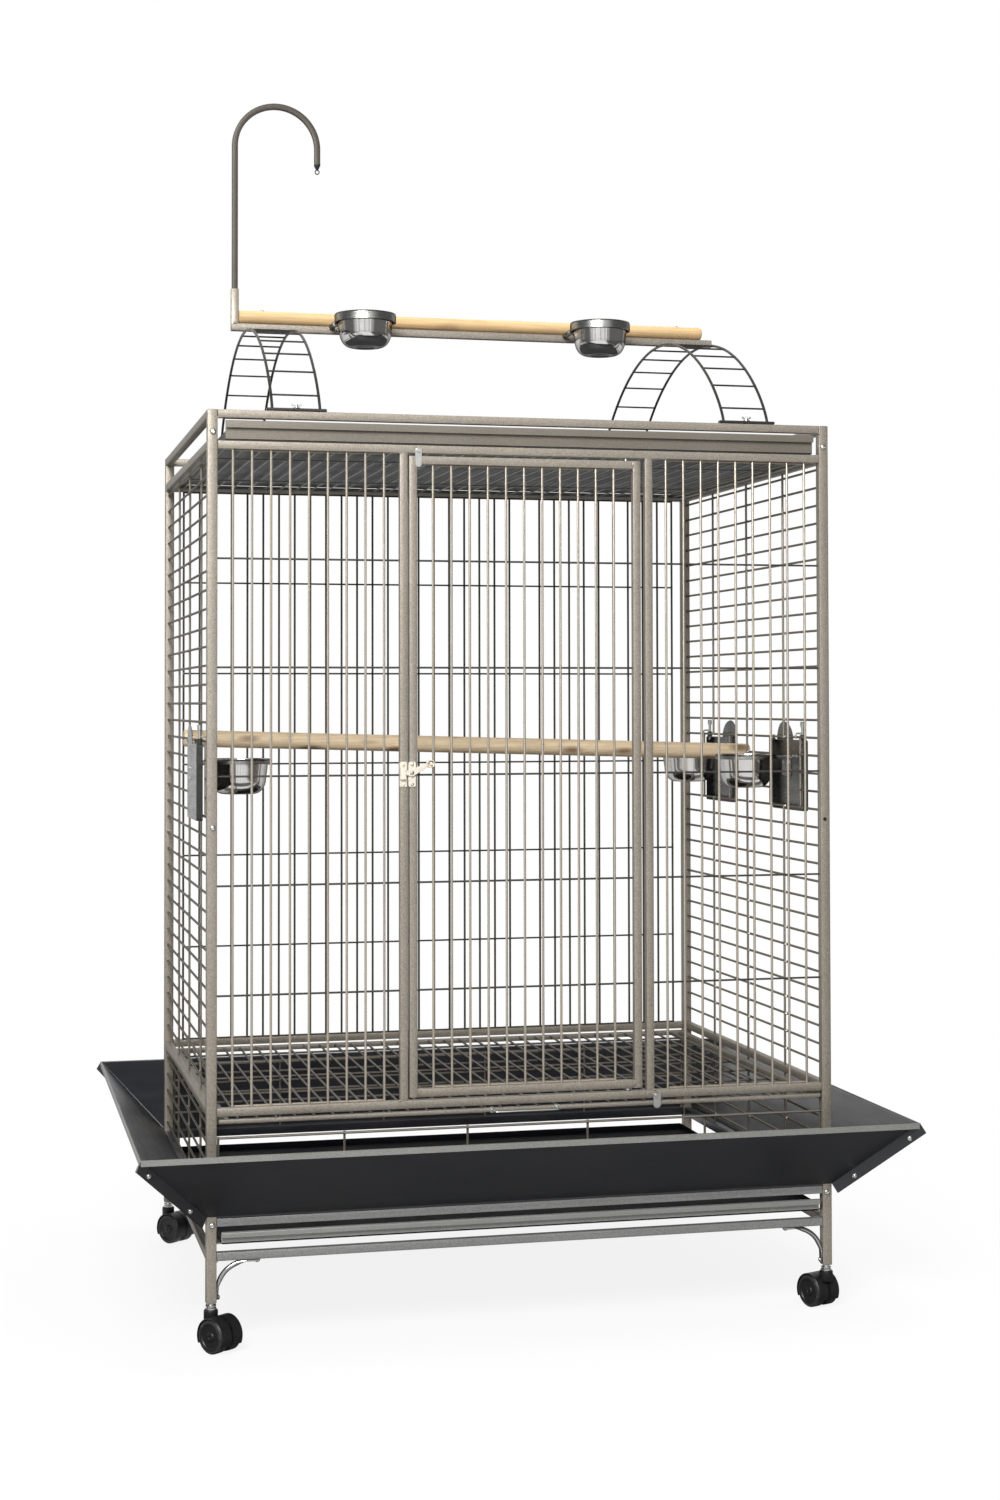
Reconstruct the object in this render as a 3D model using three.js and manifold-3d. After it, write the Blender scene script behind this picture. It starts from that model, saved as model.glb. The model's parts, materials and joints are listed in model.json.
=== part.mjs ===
// A parrot cage on casters: a tube frame with wire panels, a front door, slide-out grate and
// trays, swing-out feeders, a sheet seed guard and a play top with ladders, perch and bowls.
// Millimetres, +X to the right along the front, +Y to the back, +Z up.
// The origin is on the floor under the middle of the cage.

import * as THREE from "three";
import { mergeVertices } from "three/addons/utils/BufferGeometryUtils.js";
import Module from "manifold-3d";

const wasm = await Module();
wasm.setup();

// Fits, welds and cuts
const fit_gap = 0.3; // between pieces that rest against each other
const bore_gap = 0.3; // all round a shaft in its bore
const weld_depth = 1; // how far a wire or rail reaches into what it is welded to
const overrun = 2; // how far a cut runs past the face that it opens

// Frame
const body_width = 1016;
const body_depth = 762;
const post_side = 16;
const rail_side = 13;
const post_foot_gap = 3; // above the caster's collar
const post_top_z = 1441;
const roof_rail_z = 1393; // rails are placed by their top faces
const floor_rail_z = 367;
const stand_rail_z = 200;
const low_rail_z = 148;

// Wire panels
const bar_wire = 4;
const cross_wire = 3.2;
const bar_pitch = 29.6;
const lowest_cross_z = 537.3;
const cross_pitch = 168.5;
const cross_wires = 5;
const mesh_top_drop = 8; // from the roof rail's underside to the first row
const mesh_upright_y = 190.5;
const end_wire = 5; // the back panel's first and last bars
const row_inset = 6; // from the outer face to the middle of the horizontal mesh wires

// Front grilles and door
const upright_x = 200.5;
const grille_first_x = 231;
const door_free_gap = 3; // between the door's free edge and its upright
const door_hinge_gap = 7; // between the door's hinge edge and its upright
const door_end_gap = 4;
const door_pivot_inset = 23; // from the hinge edge to the pivot
const door_first_bar = 38.3; // from the door's free edge
const pivot_pin = 6;
const pivot_reach = 8;
const pivot_bore_depth = 9;
const pivot_washer = 12;

// Door latch
const latch_inset = 2; // from the door's free edge to the lever's pivot
const latch_z = 878;
const plate_sheet = 2;
const keeper_width = 12;
const keeper_reach = 7.5; // from the middle of the upright to the keeper's outer edge
const door_plate_overhang = 3; // past the door's free edge
const latch_plate_down = 22.5; // below the lever's pivot
const latch_plate_up = 17.4;
const keeper_lip_reach = 9;
const keeper_lip_height = 18;
const lever_sheet = 3;
const lever_hub = 12;
const lever_pin = 5;
const lever_pin_head = 9;
const lever_pin_head_height = 1.5;
const lever_tip_reach = 16;
const lever_tip_height = 5;
const lever_handle_x = 29;
const lever_handle_z = 14;
const lever_arm_width = 5;
const lever_knob = 9;
const lever_knob_height = 8;

// Turning lock tabs on the door and the grate
const tab_sheet = 1.6;
const tab_bolt = 4;
const tab_bolt_depth = 8;
const tab_bolt_head = 8;
const tab_bolt_head_height = 3;
const door_tab_inset = 13.6; // from the door's free edge
const door_tab_rise = 4.5; // of its bolt above the roof rail's underside
const door_tab_width = 11;
const door_tab_up = 3;
const door_tab_down = 26.5;
const grate_tab_x = 210.5;
const grate_tab_rise = 5; // of its bolt above the floor rail's underside
const grate_tab_width = 13;
const grate_tab_up = 3;
const grate_tab_down = 21;

// Roof grille
const roof_frame_wire = 6;
const roof_wire = 2.8;
const roof_cross_y = 184;
const roof_grille_drop = 7; // from the roof rail's top to the grille's middle

// Trays and their runners
const sheet = 1.2;
const runner_sheet = 2;
const runner_width = 24;
const top_tray_side_gap = 12; // to the posts' inner faces
const top_tray_wall = 14;
const top_tray_front = 30.5;
const top_tray_lip = 11.3;
const debris_runner_rise = 12.1; // above the low rail
const debris_tray_side_gap = 7;
const debris_tray_wall = 11;
const debris_tray_front = 19.1;
const debris_tray_lip = 8;
const tray_lip_reach = 7;
const tray_end_gap = 2;

// Grate
const grate_runner_drop = 11.3; // below the floor rail
const grate_side_gap = 3;
const grate_bar = 9;
const grate_wire = 3.8;
const grate_cross_pitch = 100;
const handle_left_x = -61;
const handle_right_x = 44;
const handle_reach = 28;
const handle_wire = 4;
const handle_nut = 9;
const handle_nut_height = 4;

// Guards over the stand's openings
const guard_top_rise = 121; // above the upper stand rail
const guard_wire = 4;
const guard_end_wire = 5;
const guard_rows = 4;
const guard_uprights = 6;

// Seed guard: four sloping aprons
const apron_foot_rise = 3; // above the upper stand rail
const apron_run = 109;
const apron_rise = 112;
const apron_lip = 9.5;
const apron_flange = 18;

// Braces between posts and low rails
const brace_rod = 8;
const brace_run = 63;
const brace_rise = 60;
const brace_tab_length = 20;
const brace_tab_sheet = 3;
const brace_tab_width = 12;

// Casters
const wheel_radius = 26;
const wheel_width = 18.2;
const wheel_pair_width = 44;
const wheel_chamfer = 2.5;
const wheel_face = 19; // radius of the flat outer face
const wheel_sides = 14;
const axle_diameter = 8;
const caster_trail = 20;
const hood_clearance = 1.6;
const hood_wall = 2.4;
const axle_boss_radius = 9;
const swivel_boss = 22;
const swivel_boss_low = 18; // above the axle
const swivel_boss_top = 35;
const stem_collar = 17;
const stem_collar_top = 42; // above the axle
const stem_diameter = 11;
const stem_reach = 32; // inside the post

// Ladder arches
const ladder_inset = 139; // from the cage's side to the ladder's middle
const ladder_half_width = 37.5;
const ladder_wire = 6;
const ladder_rung_wire = 4;
const ladder_rungs = 12;
const ladder_steps = 18;
const ladder_reach_inset = 11; // from the cage's front to the arch's foot
const ladder_fullness_share = 1.54; // power that fills the arch between an ellipse and a parabola
const ladder_foot_length = 94;
const ladder_foot_width = 11;
const ladder_foot_height = 5;

// Play rail, hook tube and perch
const play_rail_rise = 183; // above the posts
const play_rail_left_reach = 60; // past the left ladder's middle
const play_rail_right_reach = 63; // past the right ladder's middle
const socket_height = 59; // above the play rail's top face
const socket_floor = 3;
const hook_side = 10;
const hook_radius = 71;
const hook_rise = 247; // from the socket's top to the start of the bend
const hook_fall = 48.5; // from the bend to the free end
const hook_cap_side = 12;
const hook_cap_length = 9;
const play_perch_diameter = 22;
const play_perch_right_reach = 44; // past the right ladder's middle

// Bowls and their rings
const bowl_rim_reach = 4.5; // from the bowl's wall to its rim's edge
const bowl_foot = 70;
const bowl_height = 57;
const bowl_sheet = 1.8;
const bowl_shoulder = 9; // height of the rounded edge at the foot
const ring_bore = 98;
const ring_slack = 1.5; // between the bowl's wall and its ring
const bowl_sides = 16;
const play_bowl_x = 207.5;
const play_bowl_gap = 58.5; // from the play rail's front face to the bowl's middle
const play_bowl_rim_rise = 13; // above the play rail's top face
const play_ring_wall = 3.5;
const play_ring_height = 18;
const play_arm = 9;
const play_arm_offset = 49; // from the ring's middle to its arm

// Inner perch
const inner_perch_diameter = 28.5;
const inner_perch_y = 18;
const inner_perch_end_gap = 2; // from its ends to the panels' outer faces
const inner_perch_row = 15; // mesh row, counted from the top, that carries its left end
const notch_slack = 0.6;

// Feeders
const feeder_row = 15; // mesh row over the opening, counted from the top
const feeder_rows = 4; // rows that the opening spans
const feeder_width = 150;
const feeder_left_y = -226;
const feeder_right_y = 185;
const pan_below_row = 6.6;
const pan_top_drop = 5; // from the row over the opening to the pan's upper edge
const pan_depth = 10;
const pan_standoff = 8; // from the panel's outer face to the pan's outer face
const pan_dome_height = 31;
const pan_dome_width = 79;
const pan_dome_peak = 32; // from the hinge edge
const hinge_out = 2; // from the panel's outer face to the hinge axis
const hinge_barrel = 7;
const hinge_pin = 3;
const hinge_eye = 3.4;
const hinge_eye_height = 6;
const hinge_pin_reach = 8;
const feeder_ring_wall = 5;
const feeder_ring_height = 6;
const feeder_bowl_in = 71.5; // from the hinge axis to the bowl's middle, into the cage
const feeder_bowl_shift = 24; // from the pan's middle towards the hinge
const feeder_rim_height = 95; // above the pan's lower edge
const feeder_arm_width = 24;
const feeder_foot_width = 44;
const feeder_foot_height = 36;
const bolt_diameter = 5;
const bolt_inset = 10; // from the pan's free edge
const bolt_sleeve = 9;
const bolt_sleeve_height = 9;
const bolt_below = 6;
const bolt_top = 31; // above the pan's upper edge
const bolt_knob = 8;
const bolt_knob_height = 9;
const bolt_hook_wire = 3;
const bolt_hook_low = 2;
const bolt_hook_high = 13;
const bolt_hook_slack = 1;

// Values that follow from the sizes above
const half_width = body_width / 2;
const half_depth = body_depth / 2;
const post_inner_x = half_width - post_side;
const post_inner_y = half_depth - post_side;
const panel_half = post_inner_x - fit_gap;
const post_foot_z = wheel_radius + stem_collar_top + post_foot_gap;
const roof_rail_low_z = roof_rail_z - rail_side;
const floor_rail_low_z = floor_rail_z - rail_side;
const grate_runner_z = floor_rail_low_z - grate_runner_drop;
const debris_runner_z = low_rail_z + debris_runner_rise;
const apron_foot_z = stand_rail_z + apron_foot_rise;
const mesh_top_z = roof_rail_low_z - mesh_top_drop;
const door_left_x = rail_side / 2 + door_free_gap - upright_x;
const door_right_x = upright_x - rail_side / 2 - door_hinge_gap;
const door_pivot_x = door_right_x - door_pivot_inset;
const latch_x = door_left_x + latch_inset;
const door_tab_x = door_left_x + door_tab_inset;
const door_tab_z = roof_rail_low_z + door_tab_rise;
const grate_tab_z = floor_rail_low_z + grate_tab_rise;
const grate_width = 2 * (post_inner_x - grate_side_gap);
const guard_reach = panel_half - guard_end_wire / 2;
const hood_radius = wheel_radius + hood_clearance + hood_wall;
const ladder_x = half_width - ladder_inset;
const ladder_reach_y = half_depth - ladder_reach_inset;
const play_rail_low_z = post_top_z + play_rail_rise;
const play_rail_z = play_rail_low_z + rail_side;
const play_rail_left_x = -ladder_x - play_rail_left_reach;
const socket_floor_z = play_rail_z + socket_floor;
const socket_top_z = play_rail_z + socket_height;
const hook_arc_z = socket_top_z + hook_rise;
const hook_end_z = hook_arc_z - hook_fall;
const play_bowl_y = -rail_side / 2 - play_bowl_gap;
const bowl_mouth = ring_bore - 2 * ring_slack;
const bowl_rim = bowl_mouth + 2 * bowl_rim_reach;
const play_ring_outer = ring_bore + 2 * play_ring_wall;
const feeder_ring_outer = ring_bore + 2 * feeder_ring_wall;
const pan_height = pan_below_row + feeder_rows * bar_pitch - pan_top_drop;
const cross_z = Array.from({ length: cross_wires }, (_, i) => lowest_cross_z + i * cross_pitch);
const row_z = (row) => mesh_top_z - row * bar_pitch;

// Places along a row that is centred on zero, at the bar pitch, as many as fit between two ends.
function centred(reach, first = 0) {
  const places = [];
  for (let x = first; x < reach; x += bar_pitch) places.push(x);
  return [...places.filter((x) => x > 0).map((x) => -x).reverse(), ...places];
}

// Surfaces
const finishes = {
  frame: { color: 0x8b857c, roughness: 0.55, metalness: 0.35 },
  wire: { color: 0x86827b, roughness: 0.5, metalness: 0.4 },
  ladder: { color: 0x3a3835, roughness: 0.5, metalness: 0.4 },
  apron: { color: 0x3a3d43, roughness: 0.45, metalness: 0.4 },
  zinc: { color: 0xb4b5b3, roughness: 0.35, metalness: 0.9 },
  cast: { color: 0xc9c5ba, roughness: 0.5, metalness: 0.5 },
  steel: { color: 0xc2c5c8, roughness: 0.15, metalness: 1 },
  pine: { color: 0xc99d66, roughness: 0.7, metalness: 0 },
  pale_pine: { color: 0xd8b98c, roughness: 0.75, metalness: 0 },
  plastic: { color: 0x1b1b1d, roughness: 0.45, metalness: 0 },
};

// Turns a closed geometry into a solid for joining and cutting. A profile may run either way
// round, so a solid that comes out inside out is turned.
function solid(shape) {
  if (shape instanceof wasm.Manifold) return shape;
  const bare = new THREE.BufferGeometry();
  bare.setAttribute("position", shape.getAttribute("position"));
  if (shape.index) bare.setIndex(shape.index);
  const merged = mergeVertices(bare);
  const corners = merged.index.array;
  const faces = [];
  for (let i = 0; i < corners.length; i += 3) {
    const [a, b, c] = corners.slice(i, i + 3);
    if (a !== b && b !== c && c !== a) faces.push([a, b, c]);
  }
  const build = (list) =>
    new wasm.Manifold(
      new wasm.Mesh({
        numProp: 3,
        vertProperties: new Float32Array(merged.attributes.position.array),
        triVerts: new Uint32Array(list.flat()),
      }),
    );
  const made = build(faces);
  return made.volume() < 0 ? build(faces.map(([a, b, c]) => [a, c, b])) : made;
}

function join(shapes) {
  return shapes.map(solid).reduce((sum, shape) => sum.add(shape));
}

function cut(shape, tools) {
  return tools.map(solid).reduce((rest, tool) => rest.subtract(tool), solid(shape));
}

function geometryOf(shape) {
  const made = solid(shape).getMesh();
  const geometry = new THREE.BufferGeometry();
  geometry.setAttribute("position", new THREE.BufferAttribute(made.vertProperties, 3));
  geometry.setIndex(new THREE.BufferAttribute(made.triVerts, 1));
  geometry.computeVertexNormals();
  return geometry;
}

function piece(name, shape, finish) {
  const mesh = new THREE.Mesh(geometryOf(shape), new THREE.MeshStandardMaterial(finish));
  mesh.name = name;
  return mesh;
}

function place(object, x, y, z, turn = 0) {
  object.position.set(x, y, z);
  object.rotation.z = turn;
  return object;
}

// A box between two values on each axis.
function box([x0, x1], [y0, y1], [z0, z1]) {
  const size = [Math.abs(x1 - x0), Math.abs(y1 - y0), Math.abs(z1 - z0)];
  return new THREE.BoxGeometry(...size).translate((x0 + x1) / 2, (y0 + y1) / 2, (z0 + z1) / 2);
}

const about = (middle, width) => [middle - width / 2, middle + width / 2];
const both = (reach) => [-reach, reach];
const alongX = (span, y, z, width) => box(span, about(y, width), about(z, width));
const alongY = (span, x, z, width) => box(about(x, width), span, about(z, width));
const alongZ = (span, x, y, width) => box(about(x, width), about(y, width), span);

// A round rod between two points.
function rod(from, to, diameter, sides = 12) {
  const start = new THREE.Vector3(...from);
  const end = new THREE.Vector3(...to);
  const run = end.clone().sub(start);
  const turn = new THREE.Quaternion();
  turn.setFromUnitVectors(new THREE.Vector3(0, 1, 0), run.clone().normalize());
  const middle = start.add(end).multiplyScalar(0.5);
  const geometry = new THREE.CylinderGeometry(diameter / 2, diameter / 2, run.length(), sides);
  return geometry.applyQuaternion(turn).translate(middle.x, middle.y, middle.z);
}

// A ring or bowl turned about the Z axis from points of radius and height.
function turned(points, sides) {
  const profile = points.map(([radius, height]) => new THREE.Vector2(radius, height));
  return new THREE.LatheGeometry(profile, sides).rotateX(Math.PI / 2);
}

// A flat outline in the XZ plane, thickened towards the front.
function frontPlate(shape, thickness, segments = 8) {
  const options = { depth: thickness, bevelEnabled: false, curveSegments: segments };
  return new THREE.ExtrudeGeometry(shape, options).rotateX(Math.PI / 2);
}

// A flat outline in the YZ plane, thickened towards +X.
function sidePlate(shape, thickness, segments = 8) {
  const options = { depth: thickness, bevelEnabled: false, curveSegments: segments };
  const axes = new THREE.Matrix4();
  axes.makeBasis(
    new THREE.Vector3(0, 1, 0),
    new THREE.Vector3(0, 0, 1),
    new THREE.Vector3(1, 0, 0),
  );
  return new THREE.ExtrudeGeometry(shape, options).applyMatrix4(axes);
}

// A solid between two outlines with the same number of corners.
function loft(first, second) {
  const count = first.length;
  const faces = [];
  for (let i = 0; i < count; i++) {
    const next = (i + 1) % count;
    faces.push(i, next, count + next, i, count + next, count + i);
  }
  for (let i = 1; i < count - 1; i++) {
    faces.push(0, i + 1, i, count, count + i, count + i + 1);
  }
  const geometry = new THREE.BufferGeometry();
  const points = [...first, ...second].flat();
  geometry.setAttribute("position", new THREE.Float32BufferAttribute(points, 3));
  geometry.setIndex(faces);
  return geometry;
}

// A bar of regular section swept along a curve.
function swept(curve, width, sides, steps, first_corner = 0) {
  const section = new THREE.Shape();
  for (let i = 0; i < sides; i++) {
    const angle = first_corner + (i * 2 * Math.PI) / sides;
    const corner = [(width / 2) * Math.cos(angle), (width / 2) * Math.sin(angle)];
    if (i === 0) section.moveTo(...corner);
    else section.lineTo(...corner);
  }
  return new THREE.ExtrudeGeometry(section, { steps, extrudePath: curve, bevelEnabled: false });
}

// Side panel: two posts, the rails between them, the wire mesh and the tray runners. It is drawn
// with its outer face at x = 0 and the cage's inside towards +X. Each opening for a feeder has
// its middle and the side of its hinge along Y.
function sidePanel(feeders) {
  const parts = [];
  const cuts = [];
  const inner_span = both(post_inner_y + weld_depth);
  for (const side of [-1, 1]) {
    const post_y = [side * half_depth, side * post_inner_y];
    parts.push(box([0, post_side], post_y, [post_foot_z, post_top_z]));
    const bore_x = post_side / 2;
    const bore_y = side * (half_depth - post_side / 2);
    const bore = stem_diameter + 2 * bore_gap;
    const bore_top = post_foot_z + stem_reach + fit_gap;
    cuts.push(rod([bore_x, bore_y, post_foot_z - overrun], [bore_x, bore_y, bore_top], bore));
  }
  for (const top of [post_top_z, roof_rail_z, floor_rail_z, stand_rail_z, low_rail_z]) {
    parts.push(box([0, rail_side], inner_span, [top - rail_side, top]));
  }
  for (const top of [roof_rail_z, grate_runner_z, debris_runner_z]) {
    const runner_x = [post_side - weld_depth, post_side + runner_width];
    const runner_y = both(half_depth - rail_side - fit_gap);
    parts.push(box(runner_x, runner_y, [top - runner_sheet, top]));
  }
  const openings = feeders.map(openingOf).sort((a, b) => a.low_y - b.low_y);
  parts.push(...meshRows(openings, inner_span));
  parts.push(...meshUprights(openings));
  for (const opening of openings) parts.push(...openingFrame(opening));
  return cut(join(parts), cuts);
}

function openingOf({ y, hinge }) {
  return {
    low_y: y - feeder_width / 2,
    high_y: y + feeder_width / 2,
    low_z: row_z(feeder_row + feeder_rows),
    high_z: row_z(feeder_row),
    axis_y: y + hinge * (feeder_width / 2 + hingeInset()),
  };
}

// The hinge axis lies this far past the pan's edge, so that the barrel and the flange share metal.
function hingeInset() {
  return (hinge_barrel - sheet) / 2;
}

function meshRows(openings, span) {
  const rows = [];
  for (let row = 0; row_z(row) > stand_rail_z + bar_wire; row++) {
    const z = row_z(row);
    if (Math.abs(z - (floor_rail_z - rail_side / 2)) < rail_side / 2 + bar_wire) continue;
    const cutting = openings.filter(
      ({ low_z, high_z }) => z > low_z + bar_wire && z < high_z - bar_wire,
    );
    const ends = [span[0], ...cutting.flatMap(({ low_y, high_y }) => [low_y, high_y]), span[1]];
    for (let i = 0; i < ends.length; i += 2) {
      rows.push(alongY([ends[i], ends[i + 1]], row_inset, z, bar_wire));
    }
  }
  return rows;
}

function meshUprights(openings) {
  const x = row_inset + bar_wire + fit_gap;
  const uprights = [];
  for (const y of [-mesh_upright_y, 0, mesh_upright_y]) {
    const lower = [stand_rail_z - weld_depth, floor_rail_low_z + weld_depth];
    uprights.push(alongZ(lower, x, y, bar_wire));
    const crossed = openings.find(({ low_y, high_y }) => y > low_y && y < high_y);
    const upper = [floor_rail_z - weld_depth, roof_rail_low_z + weld_depth];
    if (crossed) {
      uprights.push(alongZ([upper[0], crossed.low_z + bar_wire / 2], x, y, bar_wire));
      uprights.push(alongZ([crossed.high_z - bar_wire / 2, upper[1]], x, y, bar_wire));
    } else uprights.push(alongZ(upper, x, y, bar_wire));
  }
  return uprights;
}

// Two uprights that close the mesh beside a feeder opening, and the eyes with pivot pins that
// the feeder's pan turns on.
function openingFrame({ low_y, high_y, low_z, high_z, axis_y }) {
  const parts = [];
  for (const y of [low_y, high_y]) {
    parts.push(alongZ([low_z, high_z], row_inset, y, bar_wire));
  }
  for (const [z, inward] of [[low_z, 1], [high_z, -1]]) {
    const eye = about(z, hinge_eye_height);
    const pin_end = z + inward * (hinge_eye_height / 2 + hinge_pin_reach);
    const eye_x = [-hinge_out - hinge_eye / 2, row_inset];
    parts.push(box(eye_x, about(axis_y, hinge_eye), eye));
    parts.push(rod([-hinge_out, axis_y, z], [-hinge_out, axis_y, pin_end], hinge_pin, 6));
  }
  return parts;
}

// Rails, bars, cross wires and end rods of one flat grille, drawn with its outer face at y = 0
// and the cage's inside towards +Y.
function barsBetween(positions, low_z, high_z, middle_y) {
  const span = [low_z - weld_depth, high_z + weld_depth];
  return positions.map((x) => alongZ(span, x, middle_y, bar_wire));
}

function crossLayer(bar_middle_y) {
  return about(bar_middle_y + (bar_wire + cross_wire) / 2 + fit_gap, cross_wire);
}

function crossWires(span_x, bar_middle_y) {
  return cross_z.map((z) => box(span_x, crossLayer(bar_middle_y), about(z, cross_wire)));
}

// Thin rods that lie along the rails behind the ends of the bars.
function endRods(span_x, low_z, high_z, bar_middle_y) {
  const layer = crossLayer(bar_middle_y);
  return [
    box(span_x, layer, [low_z - weld_depth, low_z + cross_wire]),
    box(span_x, layer, [high_z - cross_wire, high_z + weld_depth]),
  ];
}

function panelRail(top) {
  return box(both(panel_half), [0, rail_side], [top - rail_side, top]);
}

// Bars at the bar pitch from the first one, short of the next upright by a bar at least.
function barsFrom(first, end) {
  const count = Math.floor((end - bar_wire - first) / bar_pitch) + 1;
  return Array.from({ length: count }, (_, i) => first + i * bar_pitch);
}

function frontPanel() {
  const parts = [panelRail(roof_rail_z), panelRail(floor_rail_z)];
  const middle_y = rail_side / 2;
  for (const side of [-1, 1]) {
    const span = [floor_rail_z - weld_depth, roof_rail_low_z + weld_depth];
    parts.push(box(about(side * upright_x, rail_side), [0, rail_side], span));
    const bars = barsFrom(grille_first_x, panel_half).map((x) => side * x);
    const rods_x = [bars[0], bars.at(-1)];
    parts.push(...barsBetween(bars, floor_rail_z, roof_rail_low_z, middle_y));
    parts.push(...endRods(rods_x, floor_rail_z, roof_rail_low_z, middle_y));
    const inner_x = side * (upright_x + rail_side / 2 - weld_depth);
    parts.push(...crossWires([inner_x, side * panel_half], middle_y));
  }
  const bore = pivot_pin + 2 * bore_gap;
  const x = door_pivot_x;
  const upper = [
    [x, middle_y, roof_rail_low_z - overrun],
    [x, middle_y, roof_rail_low_z + pivot_bore_depth],
  ];
  const lower = [
    [x, middle_y, floor_rail_z - pivot_bore_depth],
    [x, middle_y, floor_rail_z + overrun],
  ];
  const door_tab = [door_tab_x, door_tab_z];
  const grate_tab = [grate_tab_x, grate_tab_z];
  const bolt_bores = [door_tab, grate_tab].map(([bolt_x, z]) =>
    rod(
      [bolt_x, -overrun, z],
      [bolt_x, tab_bolt_depth + fit_gap, z],
      tab_bolt + 2 * bore_gap,
      8,
    ),
  );
  return cut(join(parts), [rod(...upper, bore), rod(...lower, bore), ...bolt_bores]);
}

function backPanel() {
  const middle_y = rail_side / 2;
  const bars = centred(panel_half - bar_wire);
  return join([
    panelRail(roof_rail_z),
    panelRail(floor_rail_z),
    ...barsBetween(bars.slice(1, -1), floor_rail_z, roof_rail_low_z, middle_y),
    ...endRods([bars[0], bars.at(-1)], floor_rail_z, roof_rail_low_z, middle_y),
    ...crossWiresToBars(bars, middle_y),
  ]);
}

// Cross wires of the back panel. The end bars are thicker and carry them.
function crossWiresToBars(bars, middle_y) {
  const span = [floor_rail_z - weld_depth, roof_rail_low_z + weld_depth];
  const end_y = middle_y + cross_wire / 2;
  const ends = [bars[0], bars.at(-1)].map((x) => alongZ(span, x, end_y, end_wire));
  return [...ends, ...crossWires([bars[0], bars.at(-1)], middle_y)];
}

// Door: a tube frame with its bars, drawn round its pivot axis, with pins top and bottom.
function door() {
  const left = door_left_x - door_pivot_x;
  const right = door_right_x - door_pivot_x;
  const low = floor_rail_z + door_end_gap;
  const high = roof_rail_low_z - door_end_gap;
  const tube_y = about(0, rail_side);
  const parts = [
    box([left, left + rail_side], tube_y, [low, high]),
    box([right - rail_side, right], tube_y, [low, high]),
    box([left, right], tube_y, [low, low + rail_side]),
    box([left, right], tube_y, [high - rail_side, high]),
  ];
  const bars = barsFrom(left + door_first_bar, right - rail_side);
  const inner_low = low + rail_side;
  const inner_high = high - rail_side;
  parts.push(...barsBetween(bars, inner_low, inner_high, 0));
  parts.push(...endRods([bars[0], bars.at(-1)], inner_low, inner_high, 0));
  parts.push(...crossWires([left + rail_side - weld_depth, right - rail_side + weld_depth], 0));
  const pin_top = roof_rail_low_z + pivot_reach;
  const pin_foot = floor_rail_z - pivot_reach;
  parts.push(rod([0, 0, high - weld_depth], [0, 0, pin_top], pivot_pin, 8));
  parts.push(rod([0, 0, pin_foot], [0, 0, low + weld_depth], pivot_pin, 8));
  const washer = [floor_rail_z + fit_gap, low + weld_depth];
  parts.push(rod([0, 0, washer[0]], [0, 0, washer[1]], pivot_washer));
  return join(parts);
}

// Latch parts are drawn round the lever's pivot, with y = 0 on the front face of the tubes.
const latch_plate_z = [-latch_plate_down, latch_plate_up];
const plate_front_y = -fit_gap - plate_sheet;
const lever_back_y = plate_front_y - fit_gap;
const lever_front_y = lever_back_y - lever_sheet;

function latchKeeper() {
  const left = -upright_x - keeper_reach - latch_x;
  const lip_back_y = lever_front_y - fit_gap;
  const lip_y = [lip_back_y - plate_sheet, lip_back_y];
  const lip_z = about(-lever_tip_height / 4, keeper_lip_height);
  return join([
    box([left, left + keeper_width], [plate_front_y, -fit_gap], latch_plate_z),
    box([left, left + plate_sheet], [lip_y[0], -fit_gap], lip_z),
    box([left, left + keeper_lip_reach], lip_y, lip_z),
  ]);
}

function latchPlate() {
  const left = -latch_inset - door_plate_overhang;
  const head_back_y = lever_front_y - fit_gap;
  const head_front_y = head_back_y - lever_pin_head_height;
  return join([
    box([left, left + keeper_width], [plate_front_y, -fit_gap], latch_plate_z),
    rod([0, head_back_y, 0], [0, plate_front_y + weld_depth, 0], lever_pin, 8),
    rod([0, head_front_y, 0], [0, head_back_y, 0], lever_pin_head),
  ]);
}

function latchLever() {
  const tip = new THREE.Shape();
  tip.moveTo(-lever_tip_reach, -lever_tip_height / 2);
  tip.lineTo(0, -lever_hub / 2);
  tip.lineTo(lever_handle_x, lever_handle_z - lever_arm_width / 2);
  tip.lineTo(lever_handle_x, lever_handle_z + lever_arm_width / 2);
  tip.lineTo(0, lever_hub / 2);
  tip.lineTo(-lever_tip_reach, lever_tip_height / 2);
  const knob_front_y = lever_front_y - lever_knob_height;
  const knob = [
    [lever_handle_x, knob_front_y, lever_handle_z],
    [lever_handle_x, lever_back_y, lever_handle_z],
  ];
  const body = join([
    frontPlate(tip, lever_sheet).translate(0, lever_back_y, 0),
    rod(...knob, lever_knob),
  ]);
  const bore = lever_pin + 2 * bore_gap;
  const bore_y = [lever_front_y - overrun, lever_back_y + overrun];
  return cut(body, [rod([0, bore_y[0], 0], [0, bore_y[1], 0], bore)]);
}

// A turning tab that hangs from its bolt in front of the door or the grate.
function lockTab(width, up, down) {
  const back_y = -fit_gap;
  const front_y = back_y - tab_sheet;
  const blade = new THREE.Shape();
  blade.moveTo(-width / 2, up);
  blade.lineTo(-width / 2, width / 2 - down);
  blade.absarc(0, width / 2 - down, width / 2, Math.PI, 2 * Math.PI);
  blade.lineTo(width / 2, up);
  return join([
    frontPlate(blade, tab_sheet, 6).translate(0, back_y, 0),
    rod([0, front_y, 0], [0, tab_bolt_depth, 0], tab_bolt, 8),
    rod([0, front_y - tab_bolt_head_height, 0], [0, back_y - tab_sheet / 2, 0], tab_bolt_head, 6),
  ]);
}

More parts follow.
